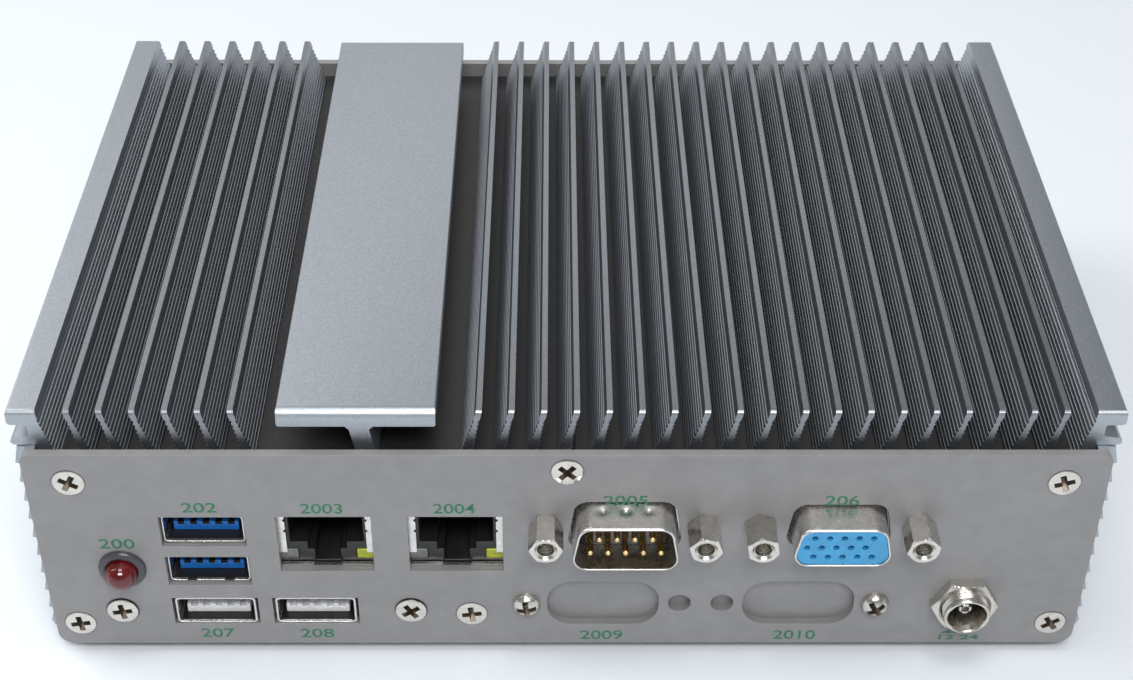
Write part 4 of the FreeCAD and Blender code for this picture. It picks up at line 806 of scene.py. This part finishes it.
def add_screw(shape, centre, kind, length, twist, facing=FRONT):
    """One cross-recess screw; `kind` is "flat" or "pan", `length` the shank's end.

    The outside is turned; a pan head's dome is rise * sqrt(1 - (r / R)^2.4).
    The recess is a cross that narrows towards its floor.
    """
    half_width, reach = 0.46, 1.62
    turn = cross_turns(half_width, reach)
    recess = cross_radius(turn, half_width, reach)
    shank = 1.45
    if kind == "flat":
        radius = 2.52
        outside = [
            (length, 0),
            (length, shank),
            (radius - shank, shank),
            (0.16, radius),
            (0.05, radius - 0.03),
            (-0.03, radius - 0.16),
        ]
        face = -0.06 - 0.06 * (1 - recess / radius)
        depth = 1.05
    else:
        radius, rise = 2.35, 1.85
        dome = [
            (-rise * (1 - share**2.4) ** 0.5, radius * share)
            for share in (1.0, 0.985, 0.95, 0.9, 0.82, 0.74)
        ]
        outside = [(length, 0), (length, shank), (0, shank), (0, radius)] + dome[1:]
        face = -rise * (1 - (recess / radius) ** 2.4) ** 0.5
        depth = -rise + 1.15
    twisted = turn + math.radians(twist)
    shape.polar(outside + [(face, recess)], centre, twisted, facing, 0)
    inner = [
        (face, recess),
        (face * 0.4 + depth * 0.6, recess * 0.72),
        (depth, recess * 0.42),
        (depth + 0.25, 0),
    ]
    shape.polar(inner, centre, twisted, facing, 1)


def build_screws():
    """Every screw with a visible head."""
    kinds = {
        "front_panel_screws": ("flat", 8.0, FRONT),
        "rear_panel_screws": ("flat", 8.0, REAR),
        "bracket_screws": ("flat", 4.0, FRONT),
        "tray_screw": ("flat", 4.0, FRONT),
        "blanking_plate_screws": ("pan", 4.0, FRONT),
        "bottom_plate_screws": ("flat", 5.4, BELOW),
    }
    twists = (8, 34, 61, 17, 48)
    for node, (kind, length, facing) in kinds.items():
        shape = Shape()
        for number, (low, high) in enumerate(case_solids(node)):
            centre = (low + high) / 2
            if facing is FRONT:
                centre[1] = low[1] if kind == "flat" else 0
            elif facing is REAR:
                centre[1] = high[1]
            else:
                centre[2] = low[2] + 0.1
            add_screw(shape, centre, kind, length, twists[number % len(twists)], facing)
        slots = [finish("nickel"), finish("recess")]
        piece(f"{node}_heads", shape, slots, [node], "nickel_screw", angle=28)


# ---------------------------------------------------------- turned and folded
def ring_turns(count=160):
    """Even angles round a piece."""
    return np.linspace(0, 2 * math.pi, count, endpoint=False)


def reach_of(outline, centre, turn):
    """Distance from `centre` to a convex outline in each direction."""
    outline = np.vstack([outline, outline[:1]])
    lengths = np.linalg.norm(np.diff(outline, axis=0), axis=1)
    passed = np.concatenate([[0], np.cumsum(lengths)])
    along = np.linspace(0, passed[-1], 1600, endpoint=False)
    across = np.interp(along, passed, outline[:, 0]) - centre[0]
    height = np.interp(along, passed, outline[:, 1]) - centre[1]
    angle = np.mod(np.arctan2(height, across), 2 * math.pi)
    order = np.argsort(angle)
    return np.interp(turn, angle[order], np.hypot(across, height)[order], period=2 * math.pi)


def hexagon_reach(turn, flats):
    """Edge of a hexagon with its corners left and right."""
    return flats / 2 / np.cos(np.mod(turn, math.pi / 3) - math.pi / 6)


def thread_rows(turn, start, end, root, depth, pitch):
    """Rows of a helical thread: a crest moves one pitch along for each turn."""
    rows = []
    for along in np.linspace(start, end, int(abs(end - start) / pitch * 8) + 1):
        phase = np.mod(along / pitch - turn / (2 * math.pi), 1)
        fade = min(1, abs(along - start) / pitch, abs(along - end) / pitch)
        rows.append((along, root + depth * fade * (1 - np.abs(2 * phase - 1))))
    return rows


def chamfered_hexagon(turn, flats, end, way):
    """Rows of a hexagon's end whose corners a cone cuts off at 30 degrees.

    `way` is the sign of y from the end face into the hexagon.
    """
    full = hexagon_reach(turn, flats)
    steps = np.array([0, 0.06, 0.12, 0.18, 0.26, 0.36]) * flats / 4.75
    return [(end + way * step, np.minimum(full, flats / 2 + step * 1.73)) for step in steps]


def rounded_box(centre, low, width, height, radius, inset=0.0):
    """A rectangle's outline with round corners, drawn in by `inset`."""
    half = width / 2 - inset
    corners = rectangle(centre - half, centre + half, low + inset, low + height - inset)
    return rounded(corners, max(radius - inset, 0.05), 8)


def rim_rows(back, front, sheet, flare=0.0, roll=0.2):
    """Section of a folded sleeve as (y, inset): foot, wall, rolled rim, inside.

    The rim is a quarter of an ellipse outside, `roll` long and 0.7 of the
    sheet high, and a small round of the rest inside.
    """
    rows = [(back, -flare)]
    if flare:
        rows += [(back - 0.4, -flare), (back - 0.9, -flare * 0.6), (back - 1.5, -flare * 0.15)]
        rows += [(along, 0.0) for along in np.linspace(back - 2.0, front + roll, 26)]
    for angle in np.linspace(0, math.pi / 2, 7):
        rows.append((front + roll * (1 - math.sin(angle)), 0.7 * sheet * (1 - math.cos(angle))))
    for angle in np.linspace(0, math.pi / 2, 4):
        inside = 0.3 * sheet
        rows.append((front + inside * (1 - math.cos(angle)), 0.7 * sheet + inside * math.sin(angle)))
    if flare:
        rows += [(along, sheet) for along in np.linspace(front + roll, back - 2.0, 26)]
    return rows + [(back, sheet), (back, -flare)]


def axis_of(box, along=0.0):
    """The middle of a box, moved to the depth `along`."""
    middle = (box[0] + box[1]) / 2
    middle[1] = along
    return middle


def turned(name, rows, centre, turn, material, node, slot, facing=FRONT, **rest):
    """One piece turned about an axis, in place of a CAD node."""
    shape = Shape()
    shape.polar(rows, centre, turn, facing)
    piece(name, shape, [finish(material)], [node], slot, **rest)


# ------------------------------------------------------------ network sockets
def face_strip(centre, side, low, high):
    """A shield's folded face strip, with half an ellipse cut for each spring."""
    outer, inner = centre + side * SHIELD_HALF, centre + side * 6.4
    notch_depth, notch_rise = 0.32, 0.3
    half = np.linspace(-math.pi / 2, math.pi / 2, 7)
    points = [(outer, low), (inner, low)]
    for height in (24.15, 26.45):
        across = inner + side * notch_depth * np.cos(half)
        points += list(zip(across, height + notch_rise * np.sin(half)))
    points += [(inner, high), (outer, high)]
    return points if side > 0 else points[::-1]


def add_shield_face(shape, low, high):
    """The folds round a network socket's mouth: strips, sills and flaps."""
    centre, front = (low[0] + high[0]) / 2, low[1]
    thick, sill, step = 0.3, 0.75, 3.4
    for side in (-1, 1):
        strip = face_strip(centre, side, low[2] + step, high[2] - thick)
        shape.prism(strip, [front, front + thick])
        edge = rectangle(
            centre + side * 7.7, centre + side * 2.3, low[2] + sill, low[2] + sill + thick
        )
        shape.prism(edge, [front - 0.25, front + thick])
        flap = rectangle(
            centre + side * SHIELD_HALF, centre + side * 7.55, low[2] + 0.9, low[2] + step
        )
        shape.prism(flap, [front, front + thick])


def add_network_contacts(shape, centre):
    """Eight bent wires: a circle of `radius` carried along a route in depth and height."""
    turn = ring_turns(10)
    radius, pitch = 0.2, 1.02
    circle = np.stack([np.cos(turn), np.zeros_like(turn), np.sin(turn)], -1) * radius
    route = [(4.0, 27.9), (5.0, 27.8), (9.0, 26.3), (12.0, 25.2), (12.6, 25.3), (12.8, 25.7)]
    for number in range(8):
        across = centre + (number - 3.5) * pitch
        rows = [circle + (across, along, height) for along, height in route]
        shape.grid(np.array(rows), closed=True)
        shape.cap(rows[0])
        shape.cap(rows[-1])


def build_network_sockets():
    """Shields with their face strips, housings, lenses and contacts."""
    for name in ("left", "right"):
        low, high = case_box(f"{name}_network_shield")
        eased(f"{name}_network_shield", "tin", 0.06)
        eased(f"{name}_network_housing", "black", 0.12)
        for lens_colour in ("clear", "green"):
            eased(f"{name}_{lens_colour}_lens", lens_colour, 0.3)
        strips = Shape()
        add_shield_face(strips, low, high)
        piece(f"{name}_face_strips", strips, [finish("tin")])
        wires = Shape()
        add_network_contacts(wires, (low[0] + high[0]) / 2)
        piece(f"{name}_network_contacts", wires, [finish("gold")])


# -------------------------------------------------------------- plug-in ports
def add_port_mouth(shape, centre, low, front, back, notched):
    """The folded rim of one port, its black moulded base and its spring slots; a black sheet on the
    floor is painted shade, and the base's black stands in for shade deep in the port too.
    """
    width, height, radius = 13.2, 5.9, 0.8
    floor, depth, base_depth = 0.42, 9.0, 6.0
    middle = low + height / 2
    turn = ring_turns(128)
    rows = []
    for along, inset in rim_rows(back, front, SHEET):
        outline = rounded_box(centre, low, width, height, radius, inset)
        rows.append((along, reach_of(outline, (centre, middle), turn)))
    shape.polar(rows, (centre, 0, middle), turn)
    # painted shade: a thin black sheet on the port's floor, for the shade under the tongue
    painted_shade_sheet = rounded_box(centre, low + floor, 11.9, 0.14, 0.05)
    shape.prism(painted_shade_sheet, [front + floor, front + depth], slot=1)
    # moulded base, set forward so that its black also stands in for shade deep in the port
    base = rounded_box(centre, low + floor, 12.3, 5.05, 0.3)
    shape.prism(base, [front + base_depth, front + depth], slot=1)
    sides = (-1, 1) if notched else ()
    for side in sides:
        slot = rounded_box(centre + side * 3.0, low + 0.24, 1.5, 0.4, 0.15)
        shape.prism(slot, [front - 0.02, front + 0.5], slot=1)


def add_tongue_notch_shade(shape, centre, low, high):
    """Black pads in the notches along a tongue's top edge, painted shade in the contact channels."""
    pitch = (high[0] - low[0]) / 5.2
    for step in range(-2, 3):
        notch = rounded_box(centre + step * pitch, high[2] - 0.62, 0.94, 0.56, 0.08)
        shape.prism(notch, [low[1] + 0.03, low[1] + 8.0])


def build_ports():
    """Shells, rims and tongues of the four ports, with black pads as painted shade in the stacked
    tongues' notches.
    """
    eased("stacked_port_shell", "tin", 0.06)
    for name in ("left", "right"):
        eased(f"{name}_single_port_shell", "tin", 0.06)
        eased(f"{name}_single_tongue", "white", 0.14)
    for level in ("lower", "upper"):
        eased(f"{level}_stacked_tongue", "blue", 0.1)
    # contacts gathers the black pads that stand as painted shade in the tongues' notches
    mouths, contacts = Shape(), Shape()
    tongue_rise = 0.6
    ports = {
        "lower_stacked_tongue": (0.75, 1.5, True),
        "upper_stacked_tongue": (0.75, 1.5, False),
        "left_single_tongue": (0.12, 0.5, False),
        "right_single_tongue": (0.12, 0.5, False),
    }
    for node, (front, back, notched) in ports.items():
        low, high = case_box(node)
        centre = (low[0] + high[0]) / 2
        add_port_mouth(mouths, centre, low[2] - tongue_rise, front, back, notched)
        if "stacked" in node:
            add_tongue_notch_shade(contacts, centre, low, high)
    piece("port_rims", mouths, [finish("tin"), finish("black")])
    piece("tongue_notch_shade", contacts, [finish("brown_black")])


# ------------------------------------------------------ serial plug and video
def shell_outline(centre, middle, width, height, inset):
    """A tapered shell's outline: wide side down, corners rounded, drawn in by `inset`."""
    slant, radius = 1.45, 2.4
    half, rise = width / 2 - inset, height / 2 - inset
    corners = [
        (centre - half, middle - rise),
        (centre + half, middle - rise),
        (centre + half - slant, middle + rise),
        (centre - half + slant, middle + rise),
    ]
    return rounded(corners, radius - inset, 8)


def build_connector(name, dimples, width, height, proud, flare):
    """One connector's pressed shell on its flange.

    The shell's section is carried round its outline.  Each dimple in the top
    is a bell, depth * exp(-distance^2 / spread).
    """
    dimple_depth, dimple_spread, dimple_place = 0.45, 0.6, -1.5
    low, high = case_box(f"{name}_shell")
    centre, middle = (low[0] + high[0]) / 2, (low[2] + high[2]) / 2
    turn = ring_turns(220)
    back = 1.5

    def reach_at(inset):
        outline = shell_outline(centre, middle, width, height, inset)
        return reach_of(outline, (centre, middle), turn)

    across = reach_at(0) * np.cos(turn)
    rows = []
    for along, inset in rim_rows(back, -proud, SHEET, flare, 0.5):
        reach = reach_at(inset)
        for place in dimples:
            near = ((across - place) ** 2 + (along - dimple_place) ** 2) / dimple_spread
            reach = reach - dimple_depth * np.exp(-near) * (np.sin(turn) > 0.3)
        rows.append((along, reach))
    shape = Shape()
    shape.polar(rows, (centre, 0, middle), turn)
    plate = rounded_box(centre, low[2], high[0] - low[0], high[2] - low[2], 1.2)
    edge = reach_of(plate, (centre, middle), turn)
    hole = reach_at(0.2)
    behind = back + SHEET
    flange = [(back, hole), (back, edge), (behind, edge), (behind, hole), (back, hole)]
    shape.polar(flange, (centre, 0, middle), turn)
    node, slot = f"{name}_shell", "tinned_steel"
    piece(f"{name}_pressed_shell", shape, [finish("tin")], [node], slot, angle=40)


def build_serial_plug():
    """Plug in its dimpled shell; each pin is a turned profile with a round tip."""
    build_connector("serial_plug", (-3.8, 0, 3.8), 17.5, 9.0, 5.6, 0.3)
    eased("serial_plug_insulator", "brown_black", 0.15)
    pins = Shape()
    turn = ring_turns(24)
    for low, high in case_solids("serial_plug_pins"):
        centre = (low + high) / 2
        centre[1] = 0
        tip = low[1]
        rows = [(tip, 0), (tip + 0.03, 0.17), (tip + 0.12, 0.31), (tip + 0.28, 0.43), (tip + 0.5, 0.5)]
        pins.polar(rows + [(high[1], 0.5), (high[1], 0)], centre, turn)
    piece("serial_pins", pins, [finish("gold")], ["serial_plug_pins"], "gold_contact")


def build_video_socket():
    """Socket with fifteen contacts in its shell."""
    build_connector("video_socket", (), 16.2, 7.9, 5.3, 0.4)
    eased("video_socket_insulator", "sky", 0.12)
    dress("video_socket_sleeves", "gold")


def build_jack_screws():
    """Hexagonal jack screws: sections round an axis, with helical bores."""
    shape = Shape()
    turn = ring_turns(96)
    twists = (0, -12, -20, 14)
    solids = sorted(case_solids("jack_screws"), key=lambda box: box[0][0])
    for twist, (low, high) in zip(twists, solids):
        centre = (low + high) / 2
        centre[1] = 0
        front, flats, bore = low[1], 4.75, 1.42
        rows = [(high[1], 0), (high[1], 1.25), (high[1] - 0.25, bore), (0, bore)]
        rows += chamfered_hexagon(turn, flats, 0, -1)
        rows += chamfered_hexagon(turn, flats, front, 1)[::-1]
        rows += [(front, 2.2), (front, bore + 0.42), (front + 0.4, bore + 0.02)]
        rows += thread_rows(turn, front + 0.4, front + 4.4, bore - 0.04, 0.12, 0.6)
        rows += [(front + 4.64, bore), (front + 4.64, 0)]
        shape.polar(rows, centre, turn + math.radians(twist))
    piece(
        "hexagonal_jack_screws", shape, [finish("nickel")], ["jack_screws"], "nickel_screw", angle=24
    )


# -------------------------------------------------- light, power jack, button
def build_drive_light():
    """Dark turned bezel and the red dome in it, a hemisphere on a stem."""
    centre = axis_of(case_box("light_bezel"))
    turn = ring_turns(72)
    rows = [(3.5, 2.55), (3.5, 3.0), (0, 3.0), (0, 3.8), (-0.3, 3.8), (-0.6, 3.7), (-0.85, 3.4)]
    rows += [(-0.98, 3.05), (-1.0, 2.85), (-0.92, 2.65), (-0.75, 2.55), (3.5, 2.55)]
    turned("lamp_bezel", rows, centre, turn, "bezel", "light_bezel", "dark_bezel")
    tip = case_box("drive_light")[0][1]
    radius = 2.5
    angle = np.linspace(0, math.pi / 2, 18)
    rows = list(zip(tip + radius * (1 - np.cos(angle)), radius * np.sin(angle)))
    rows += [(3.5, radius), (3.5, 2.9), (4.5, 2.9), (4.5, 0)]
    turned("lamp_dome", rows, centre, turn, "red", "drive_light", "red_lamp")


def build_power_jack():
    """Threaded barrel, hexagonal nut, insulating base and slotted pin.

    Barrel, nut and pin are profiles turned about the jack's axis; the pin's
    radius drops in four narrow sectors.
    """
    low, high = case_box("power_jack_nut")
    centre = axis_of((low, high))
    turn = ring_turns(120)
    rows = [(9.0, 3.1), (9.0, 4.75), (1.5, 4.75), (1.5, 3.7)]
    rows += thread_rows(turn, 1.3, -3.35, 3.5, 0.24, 0.62)
    rows += [(-3.42, 3.6), (-3.5, 3.74), (-3.72, 3.74), (-3.98, 3.58), (-4.05, 3.46)]
    rows += [(-4.05, 3.36), (-3.95, 3.22), (-3.7, 3.1), (9.0, 3.1)]
    turned("threaded_barrel", rows, centre, turn, "nickel", "power_jack_barrel", "tinned_steel")
    front, flats, bore = low[1], 9.6, 3.79
    rows = [(0, bore), (0, hexagon_reach(turn, flats))]
    rows += chamfered_hexagon(turn, flats, front, 1)[::-1]
    rows += [(front, 4.25), (front + 0.35, bore), (0, bore)]
    turned("jack_nut", rows, centre, turn, "nickel", "power_jack_nut", "nickel_screw", angle=24)
    eased("power_jack_insulator", "black", 0.1)
    tip, end = (corner[1] for corner in case_box("power_jack_pin"))
    slotted = np.where(np.abs(np.mod(turn, math.pi / 2) - math.pi / 4) < 0.16, 0.66, 1.05)
    rows = [(end, 0), (end, 1.05), (1.2, 1.05), (1.15, slotted), (tip + 0.15, slotted)]
    rows += [(tip, np.minimum(slotted, 0.92)), (tip, 0.64), (tip + 1.9, 0.63), (tip + 2, 0)]
    turned("slotted_pin", rows, centre, turn, "tin", "power_jack_pin", "tinned_steel")


def build_power_button():
    """Rear push button: threaded body and sprung cap, each a turned profile, and its nut."""
    centre = axis_of(case_box("power_button"), case_box("rear_panel")[1][1])
    turn = ring_turns(96)
    rows = [(16.5, 2.5), (16.5, 5.7), (16.3, 5.85)]
    rows += thread_rows(turn, 16.2, 1.6, 5.78, 0.2, 0.9)
    rows += [(1.5, 5.95), (0, 5.95), (0, 7.0), (-0.95, 7.0), (-1.25, 6.88), (-1.4, 6.6)]
    rows += [(-1.4, 5.5), (-1.3, 5.1), (-1.05, 4.85), (-0.9, 4.8), (3.84, 4.8), (3.84, 2.5)]
    rows += [(16.5, 2.5)]
    node, slot = "button_housing", "steel_button"
    turned("button_body", rows, centre, turn, "nickel", node, slot, facing=REAR)
    rows = [(15.2, 0), (15.2, 2.3), (2.54, 2.3), (2.54, 4.6), (-2.1, 4.6), (-2.32, 4.5)]
    rows += [(-2.4, 4.28), (-2.38, 3.9), (-2.25, 2.6), (-2.16, 1.2), (-2.14, 0)]
    node = "power_button"
    turned("button_cap", rows, centre, turn, "tin", node, slot, facing=REAR, body="button")
    eased("button_nut", "nickel", 0.25)


# --------------------------------------------------------------------- labels
def printed(text, across, height, width, cap):
    """A printed numeral on the front panel, as a thin mesh scaled to width and cap height."""
    curve = bpy.data.curves.new(f"print_{text}", "FONT")
    curve.body = text
    curve.extrude = 0.004
    curve.offset = 0.012
    holder = bpy.data.objects.new(f"print_{text}", curve)
    bpy.context.scene.collection.objects.link(holder)
    shape = holder.evaluated_get(bpy.context.evaluated_depsgraph_get())
    mesh = bpy.data.meshes.new_from_object(shape)
    bpy.data.objects.remove(holder)
    bpy.data.curves.remove(curve)
    points = np.empty(len(mesh.vertices) * 3)
    mesh.vertices.foreach_get("co", points)
    points = points.reshape(-1, 3)
    low, high = points.min(0), points.max(0)
    flat = (points - (low + high) / 2) / (high - low)
    thick = 0.02
    depth = flat[:, 2] * thick - thick / 2
    placed = np.stack([flat[:, 0] * width, depth, flat[:, 1] * cap], -1)
    placed = (placed + (across, 0, height)) * MM + ORIGIN
    mesh.vertices.foreach_set("co", placed.ravel())
    return mesh


def build_labels():
    """Plain numerals beside the sockets, printed on the front panel."""
    cap = 2.07
    places = [
        ("202", -57.6, 30.6, 5.5, cap),
        ("2003", -38.5, 30.4, 6.6, cap),
        ("2004", -17.7, 30.4, 6.6, cap),
        ("2005", 9.17, 32.1, 7.0, cap),
        ("206", 43.0, 32.1, 5.4, cap),
        ("207", -57.6, 2.5, 5.5, cap),
        ("208", -41.2, 2.4, 5.5, cap),
        ("2009", 5.8, 1.95, 7.0, cap),
        ("2010", 37.8, 1.95, 7.0, cap),
        ("200", -71.5, 22.8, 5.7, cap),
        ("20", 64.9, 3.3, 5.4, 1.9),
        ("12 24", 65.2, 1.35, 6.6, 1.1),
    ]
    work = bmesh.new()
    for place in places:
        mesh = printed(*place)
        work.from_mesh(mesh)
        bpy.data.meshes.remove(mesh)
    ready = bpy.data.meshes.new("printed_numerals")
    work.to_mesh(ready)
    work.free()
    weld(ready)
    stand("printed_numerals", ready, [finish("ink")])


# ---------------------------------------------------------------- inner parts
INNER_FINISHES = {
    "main_board": "board",
    "port_board": "board",
    "memory_module": "board",
    "memory_socket": "black",
    "processor": "board",
    "heat_pad": "pad",
    "heat_spreader": "copper",
    "cell_holder": "black",
    "coin_cell": "tin",
    "drive_tray": "tin",
    "solid_state_drive": "dark_paint",
    "board_screws": "nickel",
    "board_spacers": "gold",
}


def build_inside():
    """Finishes of the pieces inside the case."""
    for node, name in INNER_FINISHES.items():
        dress(node, name)


# ---------------------------------------------------------------- stage
def add_light(name, place, size, watts):
    """A rectangular soft light, turned to the middle of the part."""
    target = Vector((0, 0, 0.03))
    data = bpy.data.lights.new(name, "AREA")
    data.shape = "RECTANGLE"
    data.size, data.size_y = size
    data.energy = watts
    thing = bpy.data.objects.new(name, data)
    thing.location = place
    thing.rotation_euler = (target - thing.location).to_track_quat("-Z", "Y").to_euler()
    bpy.context.scene.collection.objects.link(thing)


def build_camera():
    """The camera, at the place and turn that the settings give."""
    data = bpy.data.cameras.new("camera")
    data.lens = stage().lens
    data.sensor_width = 36
    data.shift_y = stage().shift
    data.clip_start, data.clip_end = 0.01, 20
    thing = bpy.data.objects.new("camera", data)
    thing.location = stage().camera_place
    thing.rotation_euler = stage().camera_turn
    bpy.context.scene.collection.objects.link(thing)
    bpy.context.scene.camera = thing


def lighten_far(made, colour, near=0.35, far=0.9):
    """Let a floor go over to its own plain colour between two distances, in metres.

    Only the camera and glossy rays see it, so it lights nothing.
    """
    away = made.node("ShaderNodeVectorMath")
    away.operation = "LENGTH"
    made.link(made.coordinates, away.inputs[0])
    distant = made.fade(away.outputs["Value"], near, far, 0, 1)
    share = made.maths("MULTIPLY", made.seen_by("Camera", "Glossy"), distant)
    plain = made.node("ShaderNodeEmission", Color=(*colour, 1), Strength=1.0)
    made.blend(share, made.shader, plain, "Material Output")


def build_floor():
    """A wide pale floor."""
    size = 30.0
    mesh = bpy.data.meshes.new("studio_floor")
    low = float(cad_low.z)
    corners = [(-size, -size, low), (size, -size, low), (size, size, low), (-size, size, low)]
    mesh.from_pydata(corners, [], [(0, 1, 2, 3)])
    thing = bpy.data.objects.new("studio_floor", mesh)
    bpy.context.scene.collection.objects.link(thing)
    colour = tuple(finishes().floor)
    made = Finish("studio_floor", colour, 0.6)
    made.colour(made.noise(300), tinted(colour, 0.99), tinted(colour, 1.01))
    lighten_far(made, colour)
    mesh.materials.append(made.material)


def build_world():
    """An even room with a pale horizon that eyes and reflections see."""
    world = bpy.data.worlds.new("studio")
    bpy.context.scene.world = world
    graph = Graph(world)
    room = graph.tree.nodes["Background"]
    room.inputs["Color"].default_value = (0.93, 0.96, 1.0, 1)
    room.inputs["Strength"].default_value = stage().ambient
    pale = graph.node("ShaderNodeBackground", Color=(*finishes().floor, 1))
    split = graph.node("ShaderNodeSeparateXYZ")
    graph.link(graph.node("ShaderNodeTexCoord").outputs["Generated"], split.inputs[0])
    low = graph.fade(split.outputs["Z"], 0.15, 0.35, 1, 0)
    share = graph.maths("MULTIPLY", graph.seen_by("Camera", "Glossy", "Transmission"), low)
    graph.blend(share, room, pale, "World Output")


# ---------------------------------------------------------------- operators
class COMPUTER_OT_heatsink(bpy.types.Operator):
    """Build the finned heatsink extrusion"""

    bl_idname = "computer.heatsink"
    bl_label = "Heatsink"

    def execute(self, context):
        build_heatsink()
        return {"FINISHED"}


class COMPUTER_OT_case(bpy.types.Operator):
    """Build the side extrusions, panels, plates and feet"""

    bl_idname = "computer.case"
    bl_label = "Case"

    def execute(self, context):
        build_case()
        return {"FINISHED"}


class COMPUTER_OT_screws(bpy.types.Operator):
    """Build the screws with their cross recesses"""

    bl_idname = "computer.screws"
    bl_label = "Screws"

    def execute(self, context):
        build_screws()
        return {"FINISHED"}


class COMPUTER_OT_sockets(bpy.types.Operator):
    """Build the network sockets and the plug-in ports"""

    bl_idname = "computer.sockets"
    bl_label = "Sockets and ports"

    def execute(self, context):
        build_network_sockets()
        build_ports()
        return {"FINISHED"}


class COMPUTER_OT_connectors(bpy.types.Operator):
    """Build the serial plug, the video socket and the jack screws"""

    bl_idname = "computer.connectors"
    bl_label = "Connectors"

    def execute(self, context):
        build_serial_plug()
        build_video_socket()
        build_jack_screws()
        return {"FINISHED"}


class COMPUTER_OT_controls(bpy.types.Operator):
    """Build the drive light, the power jack and the power button"""

    bl_idname = "computer.controls"
    bl_label = "Light, jack and button"

    def execute(self, context):
        build_drive_light()
        build_power_jack()
        build_power_button()
        return {"FINISHED"}


class COMPUTER_OT_labels(bpy.types.Operator):
    """Print the numerals"""

    bl_idname = "computer.labels"
    bl_label = "Labels"

    def execute(self, context):
        build_labels()
        return {"FINISHED"}


class COMPUTER_OT_inside(bpy.types.Operator):
    """Give the inner pieces their finishes"""

    bl_idname = "computer.inside"
    bl_label = "Inside"

    def execute(self, context):
        build_inside()
        return {"FINISHED"}


class COMPUTER_OT_stage(bpy.types.Operator):
    """Set the floor, lights, room and camera"""

    bl_idname = "computer.stage"
    bl_label = "Stage"

    def execute(self, context):
        build_floor()
        build_world()
        build_camera()
        add_light("side_softbox", (-0.62, 0.18, 0.72), (0.5, 0.5), stage().key)
        add_light("back_softbox", (-0.30, 0.78, 0.68), (1.3, 0.5), stage().back)
        add_light("top_softbox", (0.0, -0.15, 0.95), (0.4, 0.3), stage().top)
        add_light("front_softbox", (0.05, -0.60, 0.80), (0.5, 0.28), stage().fill)
        bpy.context.scene.view_settings.view_transform = "Standard"
        return {"FINISHED"}


class COMPUTER_PT_sidebar(bpy.types.Panel):
    """Lists the steps in the 3D view's sidebar"""

    bl_label = "Fanless computer"
    bl_idname = "COMPUTER_PT_sidebar"
    bl_space_type = "VIEW_3D"
    bl_region_type = "UI"
    bl_category = "Computer"

    def draw(self, context):
        for step in STEPS:
            self.layout.operator(step.bl_idname)


SETTINGS = {
    "computer_fins": FinSettings,
    "computer_finishes": FinishSettings,
    "computer_stage": StageSettings,
}
STEPS = (
    COMPUTER_OT_heatsink,
    COMPUTER_OT_case,
    COMPUTER_OT_screws,
    COMPUTER_OT_sockets,
    COMPUTER_OT_connectors,
    COMPUTER_OT_controls,
    COMPUTER_OT_labels,
    COMPUTER_OT_inside,
    COMPUTER_OT_stage,
)


def register():
    """Register the settings, the operators and the panel."""
    for name, group in SETTINGS.items():
        bpy.utils.register_class(group)
        setattr(bpy.types.Scene, name, PointerProperty(type=group))
    for step in STEPS:
        bpy.utils.register_class(step)
    bpy.utils.register_class(COMPUTER_PT_sidebar)


def unregister():
    """Undo register."""
    bpy.utils.unregister_class(COMPUTER_PT_sidebar)
    for step in reversed(STEPS):
        bpy.utils.unregister_class(step)
    for name, group in SETTINGS.items():
        delattr(bpy.types.Scene, name)
        bpy.utils.unregister_class(group)


def main():
    """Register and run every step."""
    register()
    for step in STEPS:
        group, name = step.bl_idname.split(".")
        getattr(getattr(bpy.ops, group), name)()


if __name__ == "__main__":
    main()
